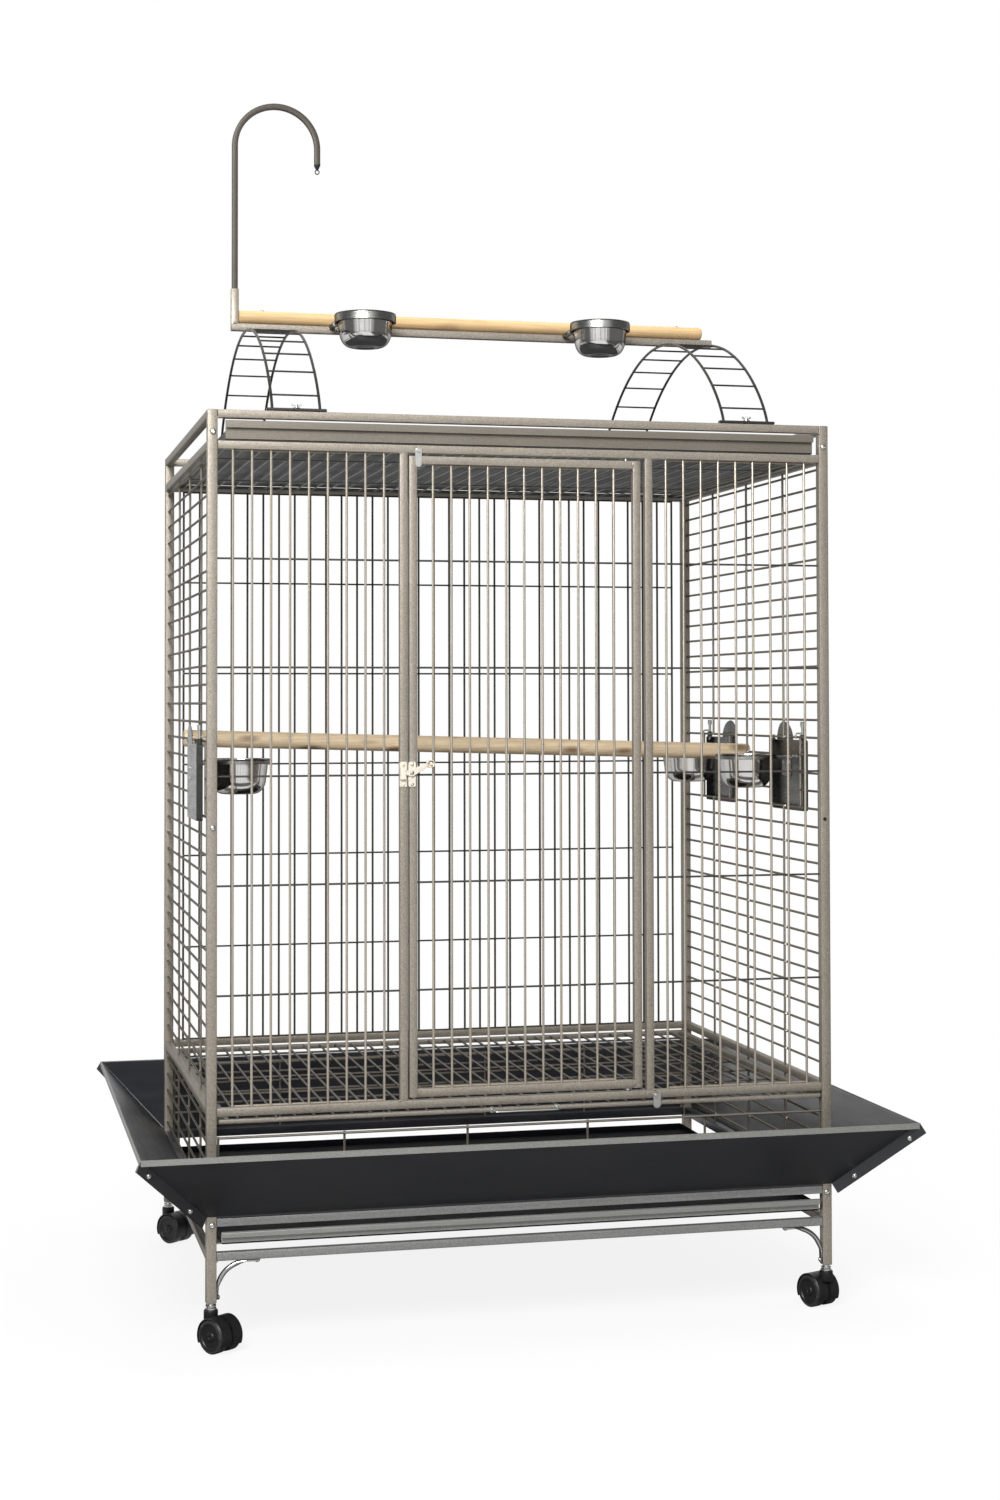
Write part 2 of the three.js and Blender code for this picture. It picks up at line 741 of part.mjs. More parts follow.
// Roof grille: a wire frame with front-to-back bars over two cross wires.
function roofGrille() {
  const x = panel_half - roof_frame_wire / 2;
  const y = half_depth - rail_side - fit_gap - roof_frame_wire / 2;
  const reach_x = both(x + roof_frame_wire / 2);
  const parts = [];
  for (const side of [-1, 1]) {
    parts.push(alongX(reach_x, side * y, 0, roof_frame_wire));
    parts.push(alongY(both(y), side * x, 0, roof_frame_wire));
    const cross_height = -(roof_wire + fit_gap) / 2;
    parts.push(alongX(both(x), side * roof_cross_y, cross_height, roof_wire));
  }
  for (const bar_x of centred(x - roof_frame_wire)) {
    parts.push(alongY(both(y), bar_x, (roof_wire + fit_gap) / 2, roof_wire));
  }
  return join(parts);
}

// A folded sheet tray with a raised front and a lip turned out and down along it. It is drawn
// with its front at y = 0 and its underside at z = 0.
function tray(width, wall, front, lip) {
  const depth = body_depth - rail_side - tray_end_gap;
  const lip_y = -tray_lip_reach;
  const wide = both(width / 2);
  const parts = [
    box(wide, [0, depth], [0, sheet]),
    box(wide, [0, sheet], [0, front]),
    box(wide, [depth - sheet, depth], [0, wall]),
    box(wide, [lip_y, sheet], [front - sheet, front]),
    box(wide, [lip_y, lip_y + sheet], [front - lip, front]),
  ];
  for (const side of [-1, 1]) {
    const wall_x = [(side * width) / 2, side * (width / 2 - sheet)];
    parts.push(box(wall_x, [0, depth], [0, wall]));
  }
  return join(parts);
}

// Grate: a frame of square bars with long wires over cross wires, underside at z = 0.
function grate() {
  const depth = body_depth - rail_side - tray_end_gap;
  const half = grate_width / 2;
  const height = [0, grate_bar];
  const parts = [
    box(both(half), [0, grate_bar], height),
    box(both(half), [depth - grate_bar, depth], height),
  ];
  for (const side of [-1, 1]) {
    parts.push(box([side * half, side * (half - grate_bar)], [0, depth], height));
  }
  const long_span = [grate_bar - weld_depth, depth - grate_bar + weld_depth];
  const long_z = (grate_bar + grate_wire + fit_gap) / 2;
  const cross_height = (grate_bar - grate_wire - fit_gap) / 2;
  for (const x of centred(half - 2 * grate_bar, bar_pitch / 2)) {
    parts.push(alongY(long_span, x, long_z, grate_wire));
  }
  const cross_rows = Math.floor((half_depth - grate_bar) / grate_cross_pitch);
  for (let row = -cross_rows; row <= cross_rows; row++) {
    const y = half_depth + row * grate_cross_pitch;
    parts.push(alongX(both(half - grate_bar + weld_depth), y, cross_height, grate_wire));
  }
  const bores = [handle_left_x, handle_right_x].map((x) => {
    const z = grate_bar / 2;
    const bore = handle_wire + 2 * bore_gap;
    return rod([x, -overrun, z], [x, grate_bar + overrun, z], bore, 8);
  });
  return cut(join(parts), bores);
}

// Wire pull handle whose ends pass through the grate's front bar, with a nut in front of it.
function grateHandle() {
  const y = handle_wire / 2 - handle_reach;
  const parts = [rod([handle_left_x, y, 0], [handle_right_x, y, 0], handle_wire, 8)];
  for (const x of [handle_left_x, handle_right_x]) {
    const nut = [-fit_gap - handle_nut_height, -fit_gap];
    parts.push(rod([x, y - handle_wire / 2, 0], [x, grate_bar, 0], handle_wire, 8));
    parts.push(rod([x, nut[0], 0], [x, nut[1], 0], handle_nut, 6));
  }
  return join(parts);
}

// Guard: the upper stand rail with short uprights and wires over the opening above it.
function guard() {
  const middle_y = rail_side / 2;
  const parts = [panelRail(stand_rail_z)];
  const guard_top_z = stand_rail_z + guard_top_rise;
  const top = guard_top_z + guard_wire / 2;
  const step = (2 * guard_reach) / (guard_uprights - 1);
  for (let i = 0; i < guard_uprights; i++) {
    const end = i === 0 || i === guard_uprights - 1;
    const x = -guard_reach + i * step;
    const y = end ? middle_y : middle_y + guard_wire / 2;
    const width = end ? guard_end_wire : guard_wire;
    parts.push(alongZ([stand_rail_z - weld_depth, top], x, y, width));
  }
  for (let row = 0; row < guard_rows; row++) {
    const z = guard_top_z - row * bar_pitch;
    const y = middle_y - guard_wire / 2 - fit_gap;
    parts.push(alongX(both(guard_reach), y, z, guard_wire));
  }
  return join(parts);
}

// One sloping apron of the seed guard. It rises towards the front from its lower edge at y = 0,
// z = 0. Its ends lie in the planes where two aprons meet, and each end has a flange in that
// plane, bolted to its neighbour's.
function apron(half_length) {
  const slope = Math.hypot(apron_run, apron_rise);
  const inner_run = (sheet * apron_rise) / slope;
  const inner_rise = (sheet * apron_run) / slope;
  const end_gap = (fit_gap / 2) * Math.SQRT2;
  // Corners of a section, given by run and height, at one end of the apron.
  const section = (side, points, inset = 0) =>
    points.map(([run, z]) => [side * (half_length + run - end_gap - inset), -run, z]);
  const across = (points) => loft(section(-1, points), section(1, points));
  const foot = fit_gap + inner_run;
  const outer_foot = [foot, 0];
  const outer_top = [apron_run, ((apron_run - foot) * apron_rise) / apron_run];
  const inner_top = [outer_top[0] - inner_run, outer_top[1] + inner_rise];
  const inner_foot = [outer_foot[0] - inner_run, outer_foot[1] + inner_rise];
  const parts = [across([outer_foot, outer_top, inner_top, inner_foot])];
  const lip_back = apron_run - sheet;
  parts.push(
    across([
      [lip_back, outer_top[1] + inner_rise],
      [lip_back, outer_top[1] + inner_rise - apron_lip],
      [apron_run, outer_top[1] + inner_rise - apron_lip],
      [apron_run, outer_top[1] + inner_rise],
    ]),
  );
  // The flange stands square to the corner edge, outwards and down.
  const edge = Math.hypot(apron_run * Math.SQRT2, apron_rise);
  const flange_run = (apron_flange * apron_rise) / edge / Math.SQRT2;
  const flange_drop = (apron_flange * apron_run * Math.SQRT2) / edge;
  const flange = [
    inner_foot,
    inner_top,
    [inner_top[0] + flange_run, inner_top[1] - flange_drop],
    [inner_foot[0] + flange_run, inner_foot[1] - flange_drop],
  ];
  for (const side of [-1, 1]) {
    parts.push(loft(section(side, flange), section(side, flange, sheet * Math.SQRT2)));
  }
  return join(parts);
}

// A curved brace with flat bolted ends, drawn from its foot on the post, rising towards +X.
function brace() {
  const path = new THREE.QuadraticBezierCurve3(
    new THREE.Vector3(fit_gap + brace_rod / 2, 0, brace_tab_length / 2),
    new THREE.Vector3(brace_rod, 0, brace_rise - brace_rod),
    new THREE.Vector3(brace_run - brace_tab_length / 2, 0, brace_rise - brace_rod / 2),
  );
  const tab_y = about(0, brace_tab_width);
  return join([
    swept(path, brace_rod, 6, 5),
    box([fit_gap, fit_gap + brace_tab_sheet], tab_y, [0, brace_tab_length]),
    box(
      [brace_run - brace_tab_length, brace_run],
      tab_y,
      [brace_rise - brace_tab_sheet, brace_rise],
    ),
  ]);
}

// Caster housing, drawn about its swivel axis with the wheels trailing towards +X: a stem and
// collar, a boss, and a hood over the wheels with a web between them that holds the axle.
function casterHousing() {
  const arc = new THREE.Shape();
  arc.absarc(0, 0, hood_radius, 0, Math.PI);
  const wheel_gap = wheel_pair_width / 2 - wheel_width;
  const web = 2 * (wheel_gap - bore_gap);
  const hood_y = wheel_pair_width / 2;
  const hood = frontPlate(arc, wheel_pair_width, 9).translate(caster_trail, hood_y, wheel_radius);
  const axle = (from_y, to_y, radius, sides) =>
    rod([caster_trail, from_y, wheel_radius], [caster_trail, to_y, wheel_radius], 2 * radius, sides);
  const boss_top_z = wheel_radius + swivel_boss_top;
  const collar_top_z = wheel_radius + stem_collar_top;
  const solid_parts = join([
    hood,
    rod([0, 0, wheel_radius + swivel_boss_low], [0, 0, boss_top_z], swivel_boss, 10),
    axle(-web / 2, web / 2, axle_boss_radius, 10),
  ]);
  const wheel_space = wheel_radius + hood_clearance;
  const far = wheel_pair_width / 2 + overrun;
  const housing = cut(solid_parts, [
    axle(-far, -web / 2, wheel_space, 18),
    axle(web / 2, far, wheel_space, 18),
    axle(-far, far, axle_diameter / 2 + bore_gap, 10),
  ]);
  return join([
    housing,
    rod([0, 0, boss_top_z - weld_depth], [0, 0, collar_top_z], stem_collar, 10),
    rod(
      [0, 0, collar_top_z - weld_depth],
      [0, 0, post_foot_z + stem_reach],
      stem_diameter,
      8,
    ),
  ]);
}

// Both wheels of a caster with their axle, turned about Y. A flat of the rim faces the floor.
function casterWheels() {
  const rim = wheel_radius / Math.cos(Math.PI / wheel_sides);
  const outer = wheel_pair_width / 2;
  const half = [
    [0, outer],
    [wheel_face, outer],
    [rim, outer - wheel_chamfer],
    [rim, outer - wheel_width],
    [axle_diameter / 2, outer - wheel_width],
  ];
  const mirrored = half.map(([radius, y]) => [radius, -y]).reverse();
  const profile = [...half, ...mirrored].map(([radius, y]) => new THREE.Vector2(radius, y));
  return new THREE.LatheGeometry(profile, wheel_sides).rotateY(Math.PI / wheel_sides);
}

// The side wire of a ladder arch, from the front foot over the top to the back foot.
class LadderArch extends THREE.Curve {
  getPoint(t, target = new THREE.Vector3()) {
    const angle = (2 * t - 1) * (Math.PI / 2);
    const top = play_rail_low_z - post_top_z - fit_gap - ladder_wire / 2;
    const foot = ladder_foot_height / 2;
    const rise = (top - foot) * Math.max(Math.cos(angle), 0) ** ladder_fullness_share;
    return target.set(0, ladder_reach_y * Math.sin(angle), foot + rise);
  }
}

function ladder() {
  const arch = new LadderArch();
  const parts = [];
  for (const side of [-1, 1]) {
    const wire = swept(arch, ladder_wire * Math.SQRT2, 4, ladder_steps, Math.PI / 4);
    parts.push(wire.translate(side * ladder_half_width, 0, 0));
    const foot_z = [fit_gap, ladder_foot_height];
    const foot_y = about(side * (half_depth - rail_side / 2), ladder_foot_width);
    parts.push(box(both(ladder_foot_length / 2), foot_y, foot_z));
  }
  for (let i = 0; i < ladder_rungs; i++) {
    const { y, z } = arch.getPointAt((i + 0.5) / ladder_rungs);
    parts.push(alongX(both(ladder_half_width), y, z, ladder_rung_wire));
  }
  return join(parts);
}

// Play rail with the hollow leg that the hook tube stands in.
function playRail() {
  const play_rail_right_x = ladder_x + play_rail_right_reach;
  const leg_x = [play_rail_left_x, play_rail_left_x + rail_side];
  const tube_y = about(0, rail_side);
  const body = join([
    box([play_rail_left_x, play_rail_right_x], tube_y, [play_rail_low_z, play_rail_z]),
    box(leg_x, tube_y, [play_rail_low_z, socket_top_z]),
  ]);
  const socket_x = about(play_rail_left_x + rail_side / 2, hook_side + 2 * bore_gap);
  const socket_y = about(0, hook_side + 2 * bore_gap);
  return cut(body, [box(socket_x, socket_y, [socket_floor_z, socket_top_z + overrun])]);
}

// The hook's middle line: up from the socket, over, and down to its free end.
class HookLine extends THREE.Curve {
  getPoint(t, target = new THREE.Vector3()) {
    const rise = hook_arc_z - socket_floor_z - fit_gap;
    const fall = hook_arc_z - hook_end_z;
    const bend = Math.PI * hook_radius;
    const along = t * (rise + bend + fall);
    if (along < rise) return target.set(-hook_radius, 0, along - rise);
    if (along > rise + bend) return target.set(hook_radius, 0, rise + bend - along);
    const angle = (along - rise) / hook_radius;
    return target.set(-hook_radius * Math.cos(angle), 0, hook_radius * Math.sin(angle));
  }
}

function hookTube() {
  const tube = swept(new HookLine(), hook_side * Math.SQRT2, 4, 26, Math.PI / 4);
  const cap_z = [hook_end_z - hook_cap_length - hook_arc_z, hook_end_z + weld_depth - hook_arc_z];
  return join([tube, box(about(hook_radius, hook_cap_side), about(0, hook_cap_side), cap_z)]);
}

// A steel bowl that hangs by its rim, drawn with its rim's top at z = 0.
function bowl() {
  const foot = bowl_foot / 2;
  const shoulder = bowl_mouth / 2 - bowl_sheet;
  const low = -bowl_height;
  return turned(
    [
      [0, low],
      [foot, low],
      [foot + bowl_shoulder, low + bowl_shoulder],
      [bowl_mouth / 2, -bowl_sheet],
      [bowl_rim / 2, -bowl_sheet],
      [bowl_rim / 2, 0],
      [shoulder, 0],
      [foot + bowl_shoulder - bowl_sheet, low + bowl_shoulder],
      [foot - bowl_sheet, low + bowl_sheet],
      [0, low + bowl_sheet],
    ],
    bowl_sides,
  );
}

// The band under a bowl's rim, with its top at z = 0.
function bowlRing(outer, height) {
  return turned(
    [
      [ring_bore / 2, -height],
      [outer / 2, -height],
      [outer / 2, 0],
      [ring_bore / 2, 0],
      [ring_bore / 2, -height],
    ],
    bowl_sides,
  );
}

// Play-top ring with the short round arm that fastens it to the front of the play rail. It is
// drawn about the bowl's axis, with the arm on its left.
function playRing() {
  const rail_face_y = -play_bowl_y - rail_side / 2;
  const half_chord = Math.sqrt((play_ring_outer / 2) ** 2 - play_arm_offset ** 2);
  const arm_z = play_arm / 2 - play_ring_height;
  const arm = rod(
    [-play_arm_offset, half_chord / 2, arm_z],
    [-play_arm_offset, rail_face_y - fit_gap, arm_z],
    play_arm,
    8,
  );
  const bore_z = [-play_ring_height - play_arm, overrun];
  const bore = rod([0, 0, bore_z[0]], [0, 0, bore_z[1]], ring_bore, bowl_sides);
  return join([cut(arm, [bore]), bowlRing(play_ring_outer, play_ring_height)]);
}

// The long inner perch, drawn along X about its middle, with a slot in each end that drops over
// a mesh wire.
function innerPerch(tilt) {
  const reach = half_width / Math.cos(tilt) - inner_perch_end_gap;
  const slot_in = half_width - row_inset - bar_wire / 2 - notch_slack;
  const slot_height = bar_wire + 2 * notch_slack;
  const slots = [-1, 1].map((side) =>
    box(
      [side * (slot_in - bar_wire / 2), side * (reach + overrun)],
      both(inner_perch_diameter),
      about(0, slot_height),
    ),
  );
  return cut(rod([-reach, 0, 0], [reach, 0, 0], inner_perch_diameter, 16), slots);
}

// Feeder door: a shallow pan with a domed tab over its hinge half, a hinge barrel and a sleeve
// for the latch bolt. It is drawn about its hinge axis with the pan towards -Y, the outside
// towards +X and its lower edge at z = 0.
const pan_outer_x = pan_standoff - hinge_out;
const pan_inner_x = pan_outer_x - pan_depth;
const pan_hinge_y = -hingeInset();
const pan_free_y = pan_hinge_y - feeder_width;
const bolt_y = pan_free_y + bolt_inset;

function feederDoor() {
  const face = new THREE.Shape();
  face.moveTo(pan_hinge_y, 0);
  face.lineTo(pan_hinge_y, pan_height);
  const peak_y = pan_hinge_y - pan_dome_peak;
  face.absellipse(peak_y, pan_height, pan_dome_peak, pan_dome_height, 0, Math.PI / 2);
  const far = pan_dome_width - pan_dome_peak;
  face.absellipse(peak_y, pan_height, far, pan_dome_height, Math.PI / 2, Math.PI);
  face.lineTo(pan_free_y, pan_height);
  face.lineTo(pan_free_y, 0);
  const pan_x = [pan_inner_x, pan_outer_x];
  const pan_y = [pan_free_y, pan_hinge_y];
  const barrel_low = pan_below_row + hinge_eye_height / 2 + fit_gap;
  const opening_height = feeder_rows * bar_pitch;
  const barrel_high = pan_below_row + opening_height - hinge_eye_height / 2 - fit_gap;
  const sleeve_z = [pan_height - sheet, pan_height + bolt_sleeve_height];
  const body = join([
    sidePlate(face, sheet, 4).translate(pan_outer_x - sheet, 0, 0),
    box(pan_x, pan_y, [0, sheet]),
    box(pan_x, pan_y, [pan_height - sheet, pan_height]),
    box(pan_x, [pan_hinge_y - sheet, pan_hinge_y], [0, pan_height]),
    box(pan_x, [pan_free_y, pan_free_y + sheet], [0, pan_height]),
    rod([0, 0, barrel_low], [0, 0, barrel_high], hinge_barrel, 8),
    rod([0, bolt_y, sleeve_z[0]], [0, bolt_y, sleeve_z[1]], bolt_sleeve, 8),
  ]);
  const pin_bore = hinge_pin + 2 * bore_gap;
  const bolt_bore = bolt_diameter + 2 * bore_gap;
  const sleeve_cut = [sleeve_z[0] - overrun, sleeve_z[1] + overrun];
  return cut(body, [
    rod([0, 0, barrel_low - overrun], [0, 0, barrel_high + overrun], pin_bore, 8),
    rod([0, bolt_y, sleeve_cut[0]], [0, bolt_y, sleeve_cut[1]], bolt_bore, 8),
  ]);
}

// Lift latch: a bolt in the pan's sleeve whose hook drops behind the mesh wire over the opening.
function feederLatch() {
  const row_x = -hinge_out - row_inset;
  const hook_x = row_x - bar_wire / 2 - bolt_hook_slack - bolt_hook_wire / 2;
  const knob_z = [pan_height + bolt_top - bolt_knob_height, pan_height + bolt_top];
  const arm_z = pan_height + bolt_hook_high - bolt_hook_wire / 2;
  const hook_z = [pan_height + bolt_hook_low, pan_height + bolt_hook_high];
  return join([
    rod([0, bolt_y, pan_height - bolt_below], [0, bolt_y, knob_z[1]], bolt_diameter, 8),
    rod([0, bolt_y, knob_z[0]], [0, bolt_y, knob_z[1]], bolt_knob, 8),
    alongX([hook_x - bolt_hook_wire / 2, 0], bolt_y, arm_z, bolt_hook_wire),
    alongZ(hook_z, hook_x, bolt_y, bolt_hook_wire),
  ]);
}

// Feeder ring with its arm and the foot that is riveted inside the pan.
const feeder_bowl_y = pan_hinge_y - feeder_width / 2 + feeder_bowl_shift;
const feeder_ring_z = feeder_rim_height - bowl_sheet - fit_gap;

function feederRing() {
  const ring = bowlRing(feeder_ring_outer, feeder_ring_height);
  const foot_x = pan_outer_x - sheet - fit_gap;
  const arm_x = [ringMiddleRadius() - feeder_bowl_in, foot_x];
  const foot_z = [feeder_ring_z - feeder_foot_height, feeder_ring_z];
  return join([
    ring.translate(-feeder_bowl_in, feeder_bowl_y, feeder_ring_z),
    box(arm_x, about(feeder_bowl_y, feeder_arm_width), [
      feeder_ring_z - feeder_ring_height,
      feeder_ring_z,
    ]),
    box([foot_x - sheet, foot_x], about(feeder_bowl_y, feeder_foot_width), foot_z),
  ]);
}

// Where the arm meets the band, measured from the bowl's axis.
function ringMiddleRadius() {
  return (ring_bore + feeder_ring_outer) / 4;
}

function mirroredAlongY(shape) {
  return geometryOf(shape).scale(1, -1, 1);
}

// Assembly
const cage = new THREE.Group();

function add(name, shape, finish, x, y, z, turn = 0, parent = cage) {
  parent.add(place(piece(name, shape, finish), x, y, z, turn));
}

// The left panel is drawn in place. The right one is turned round, so its openings turn too.
const left_feeders = [{ y: feeder_left_y, hinge: 1 }];
const right_feeders = [
  { y: -feeder_right_y, hinge: 1 },
  { y: feeder_right_y, hinge: -1 },
];
const turned_feeders = right_feeders.map(({ y, hinge }) => ({ y: -y, hinge: -hinge }));
add("side_panel_left", sidePanel(left_feeders), finishes.frame, -half_width, 0, 0);
add("side_panel_right", sidePanel(turned_feeders), finishes.frame, half_width, 0, 0, Math.PI);
add("front_panel", frontPanel(), finishes.frame, 0, -half_depth, 0);
add("back_panel", backPanel(), finishes.frame, 0, half_depth, 0, Math.PI);
for (const [end, y, turn] of [
  ["front", -half_depth, 0],
  ["back", half_depth, Math.PI],
]) {
  add("top_rail_" + end, panelRail(post_top_z), finishes.frame, 0, y, 0, turn);
  add("stand_rail_" + end, panelRail(low_rail_z), finishes.frame, 0, y, 0, turn);
  add("guard_" + end, guard(), finishes.frame, 0, y, 0, turn);
}
add("roof_grille", roofGrille(), finishes.wire, 0, 0, roof_rail_z - roof_grille_drop);

const top_tray_width = 2 * (post_inner_x - top_tray_side_gap);
const debris_tray_width = 2 * (post_inner_x - debris_tray_side_gap);
const top_tray = tray(top_tray_width, top_tray_wall, top_tray_front, top_tray_lip);
add("top_tray", top_tray, finishes.apron, 0, -half_depth, roof_rail_z + fit_gap);
const debris_tray = tray(
  debris_tray_width,
  debris_tray_wall,
  debris_tray_front,
  debris_tray_lip,
);
add("debris_tray", debris_tray, finishes.apron, 0, -half_depth, debris_runner_z + fit_gap);

const grate_z = grate_runner_z + fit_gap;
add("grate", grate(), finishes.wire, 0, -half_depth, grate_z);
add("grate_handle", grateHandle(), finishes.zinc, 0, -half_depth, grate_z + grate_bar / 2);

// Door with its latch, in a group at the pivot axis
const door_group = place(new THREE.Group(), door_pivot_x, -half_depth + rail_side / 2, 0);
cage.add(door_group);
add("door", door(), finishes.frame, 0, 0, 0, 0, door_group);
const latch_in_door = [latch_x - door_pivot_x, -rail_side / 2, latch_z];
add("latch_plate", latchPlate(), finishes.cast, ...latch_in_door, 0, door_group);
add("latch_lever", latchLever(), finishes.cast, ...latch_in_door, 0, door_group);
add("latch_keeper", latchKeeper(), finishes.cast, latch_x, -half_depth, latch_z);
const door_tab = lockTab(door_tab_width, door_tab_up, door_tab_down);
add("door_lock_tab", door_tab, finishes.zinc, door_tab_x, -half_depth, door_tab_z);
const grate_tab = lockTab(grate_tab_width, grate_tab_up, grate_tab_down);
add("grate_lock_tab", grate_tab, finishes.zinc, grate_tab_x, -half_depth, grate_tab_z);

// Seed guard, each apron turned to its own side
const wide_apron = apron(half_width);
const deep_apron = apron(half_depth);
add("apron_front", wide_apron, finishes.apron, 0, -half_depth, apron_foot_z);
add("apron_right", deep_apron, finishes.apron, half_width, 0, apron_foot_z, Math.PI / 2);
add("apron_back", wide_apron, finishes.apron, 0, half_depth, apron_foot_z, Math.PI);
add("apron_left", deep_apron, finishes.apron, -half_width, 0, apron_foot_z, -Math.PI / 2);

// Braces and casters at the four posts. Each caster's turn is the way that its wheels trail.
const brace_foot_z = low_rail_z - rail_side - fit_gap - brace_rise;
const corners = [
  ["front_left", -1, -1, -53],
  ["front_right", 1, -1, 111],
  ["back_left", -1, 1, -51],
  ["back_right", 1, 1, -65],
];
for (const [corner, side_x, side_y, trail] of corners) {
  const brace_x = side_x * (half_width - post_side);
  const brace_y = side_y * (half_depth - rail_side / 2);
  const brace_turn = side_x < 0 ? 0 : Math.PI;
  add("brace_" + corner, brace(), finishes.frame, brace_x, brace_y, brace_foot_z, brace_turn);
  const swivel = new THREE.Group();
  const swivel_x = side_x * (half_width - post_side / 2);
  const swivel_y = side_y * (half_depth - post_side / 2);
  cage.add(place(swivel, swivel_x, swivel_y, 0, THREE.MathUtils.degToRad(trail)));
  add("caster_housing_" + corner, casterHousing(), finishes.plastic, 0, 0, 0, 0, swivel);
  const wheels = casterWheels();
  add("caster_wheels_" + corner, wheels, finishes.plastic, caster_trail, 0, wheel_radius, 0, swivel);
}

// Play top
add("ladder_left", ladder(), finishes.ladder, -ladder_x, 0, post_top_z);
add("ladder_right", ladder(), finishes.ladder, ladder_x, 0, post_top_z);
add("play_rail", playRail(), finishes.frame, 0, 0, 0);
const hook_x = play_rail_left_x + rail_side / 2 + hook_radius;
add("hook_tube", hookTube(), finishes.frame, hook_x, 0, hook_arc_z);
const perch_left_x = play_rail_left_x + rail_side + fit_gap;
const perch_span = [
  [perch_left_x, 0, 0],
  [ladder_x + play_perch_right_reach, 0, 0],
];
const perch_z = play_rail_z + fit_gap + play_perch_diameter / 2;
add("play_perch", rod(...perch_span, play_perch_diameter, 16), finishes.pine, 0, 0, perch_z);
for (const [side, x] of [["left", -play_bowl_x], ["right", play_bowl_x]]) {
  const play_bowl_rim_z = play_rail_z + play_bowl_rim_rise;
  const ring_z = play_bowl_rim_z - bowl_sheet - fit_gap;
  add("play_ring_" + side, playRing(), finishes.zinc, x, play_bowl_y, ring_z);
  add("play_bowl_" + side, bowl(), finishes.steel, x, play_bowl_y, play_bowl_rim_z);
}

// The inner perch slopes down by one mesh row from left to right.
const perch_rows = [row_z(inner_perch_row), row_z(inner_perch_row + 1)];
const wire_span = body_width - 2 * row_inset;
const tilt = Math.atan2(perch_rows[0] - perch_rows[1], wire_span);
const inner_perch = piece("inner_perch", innerPerch(tilt), finishes.pale_pine);
inner_perch.rotation.y = tilt;
inner_perch.position.set(0, inner_perch_y, (perch_rows[0] + perch_rows[1]) / 2);
cage.add(inner_perch);

// Feeders: the one at the right front is drawn as it stands, and the other two are its mirror
// image.
const feeder_z = row_z(feeder_row + feeder_rows) - pan_below_row;
const feeders = [
  ["left", -1, left_feeders[0], true],
  ["right_front", 1, right_feeders[0], false],
  ["right_back", 1, right_feeders[1], true],
];
for (const [where, side, { y, hinge }, mirrored] of feeders) {
  const hand = mirrored ? mirroredAlongY : (shape) => shape;
  const axis_x = side * (half_width + hinge_out);
  const axis_y = y + hinge * (feeder_width / 2 + hingeInset());
  const turn = side < 0 ? Math.PI : 0;
  const feeder = place(new THREE.Group(), axis_x, axis_y, feeder_z, turn);
  cage.add(feeder);
  add("feeder_door_" + where, hand(feederDoor()), finishes.frame, 0, 0, 0, 0, feeder);
  add("feeder_latch_" + where, hand(feederLatch()), finishes.zinc, 0, 0, 0, 0, feeder);
  add("feeder_ring_" + where, hand(feederRing()), finishes.zinc, 0, 0, 0, 0, feeder);
  const bowl_y = mirrored ? -feeder_bowl_y : feeder_bowl_y;
  const bowl_place = [-feeder_bowl_in, bowl_y, feeder_rim_height];
  add("feeder_bowl_" + where, bowl(), finishes.steel, ...bowl_place, 0, feeder);
}

export default cage;
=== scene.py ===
"""A bird cage on casters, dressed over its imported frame: powder-coated tubes and wires, folded
sheet trays and aprons, steel bowls, pine perches and moulded casters."""

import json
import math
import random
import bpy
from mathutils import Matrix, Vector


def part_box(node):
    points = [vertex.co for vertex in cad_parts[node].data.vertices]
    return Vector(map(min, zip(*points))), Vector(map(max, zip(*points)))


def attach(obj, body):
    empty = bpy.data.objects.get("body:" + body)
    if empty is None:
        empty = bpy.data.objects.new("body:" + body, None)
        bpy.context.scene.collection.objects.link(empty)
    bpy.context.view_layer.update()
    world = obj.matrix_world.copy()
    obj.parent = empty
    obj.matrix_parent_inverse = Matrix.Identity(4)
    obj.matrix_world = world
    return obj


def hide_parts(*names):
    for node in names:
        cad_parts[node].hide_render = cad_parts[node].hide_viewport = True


bl_info = {
    "name": "Bird Cage",
    "version": (1, 0, 0),
    "blender": (4, 5, 0),
    "location": "View3D > Sidebar > Cage",
    "description": "Builds and finishes a play-top bird cage over its frame",
    "category": "Object",
}

import bmesh
import bpy
from bpy.props import FloatProperty, FloatVectorProperty, PointerProperty
from mathutils import Matrix, Vector

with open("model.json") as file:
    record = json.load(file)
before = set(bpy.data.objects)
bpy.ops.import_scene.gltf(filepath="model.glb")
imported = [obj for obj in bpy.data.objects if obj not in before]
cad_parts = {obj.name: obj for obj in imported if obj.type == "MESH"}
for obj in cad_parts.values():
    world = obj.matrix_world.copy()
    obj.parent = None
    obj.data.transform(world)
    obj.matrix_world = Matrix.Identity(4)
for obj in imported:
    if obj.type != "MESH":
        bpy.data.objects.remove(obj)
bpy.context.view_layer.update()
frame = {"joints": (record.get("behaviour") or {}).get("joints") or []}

MM = 0.001
X, Y, Z = Vector((1, 0, 0)), Vector((0, 1, 0)), Vector((0, 0, 1))
SIDES = {"left": -1, "right": 1}
ENDS = {"front": -1, "back": 1}

# Main planes of the cage, from the frame
POST = 16 * MM
FIT_GAP = 0.3 * MM
panel_low, panel_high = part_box("side_panel_left")
HALF_DEPTH = panel_high.y
POST_FOOT_Z = panel_low.z
POST_TOP_Z = panel_high.z
FLOOR_RAIL_LOW_Z, ROOF_RAIL_Z = (corner.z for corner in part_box("front_panel"))
RAIL_HALF_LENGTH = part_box("front_panel")[1].x
HALF_WIDTH = RAIL_HALF_LENGTH + FIT_GAP + POST
LOW_RAIL_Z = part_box("stand_rail_front")[1].z

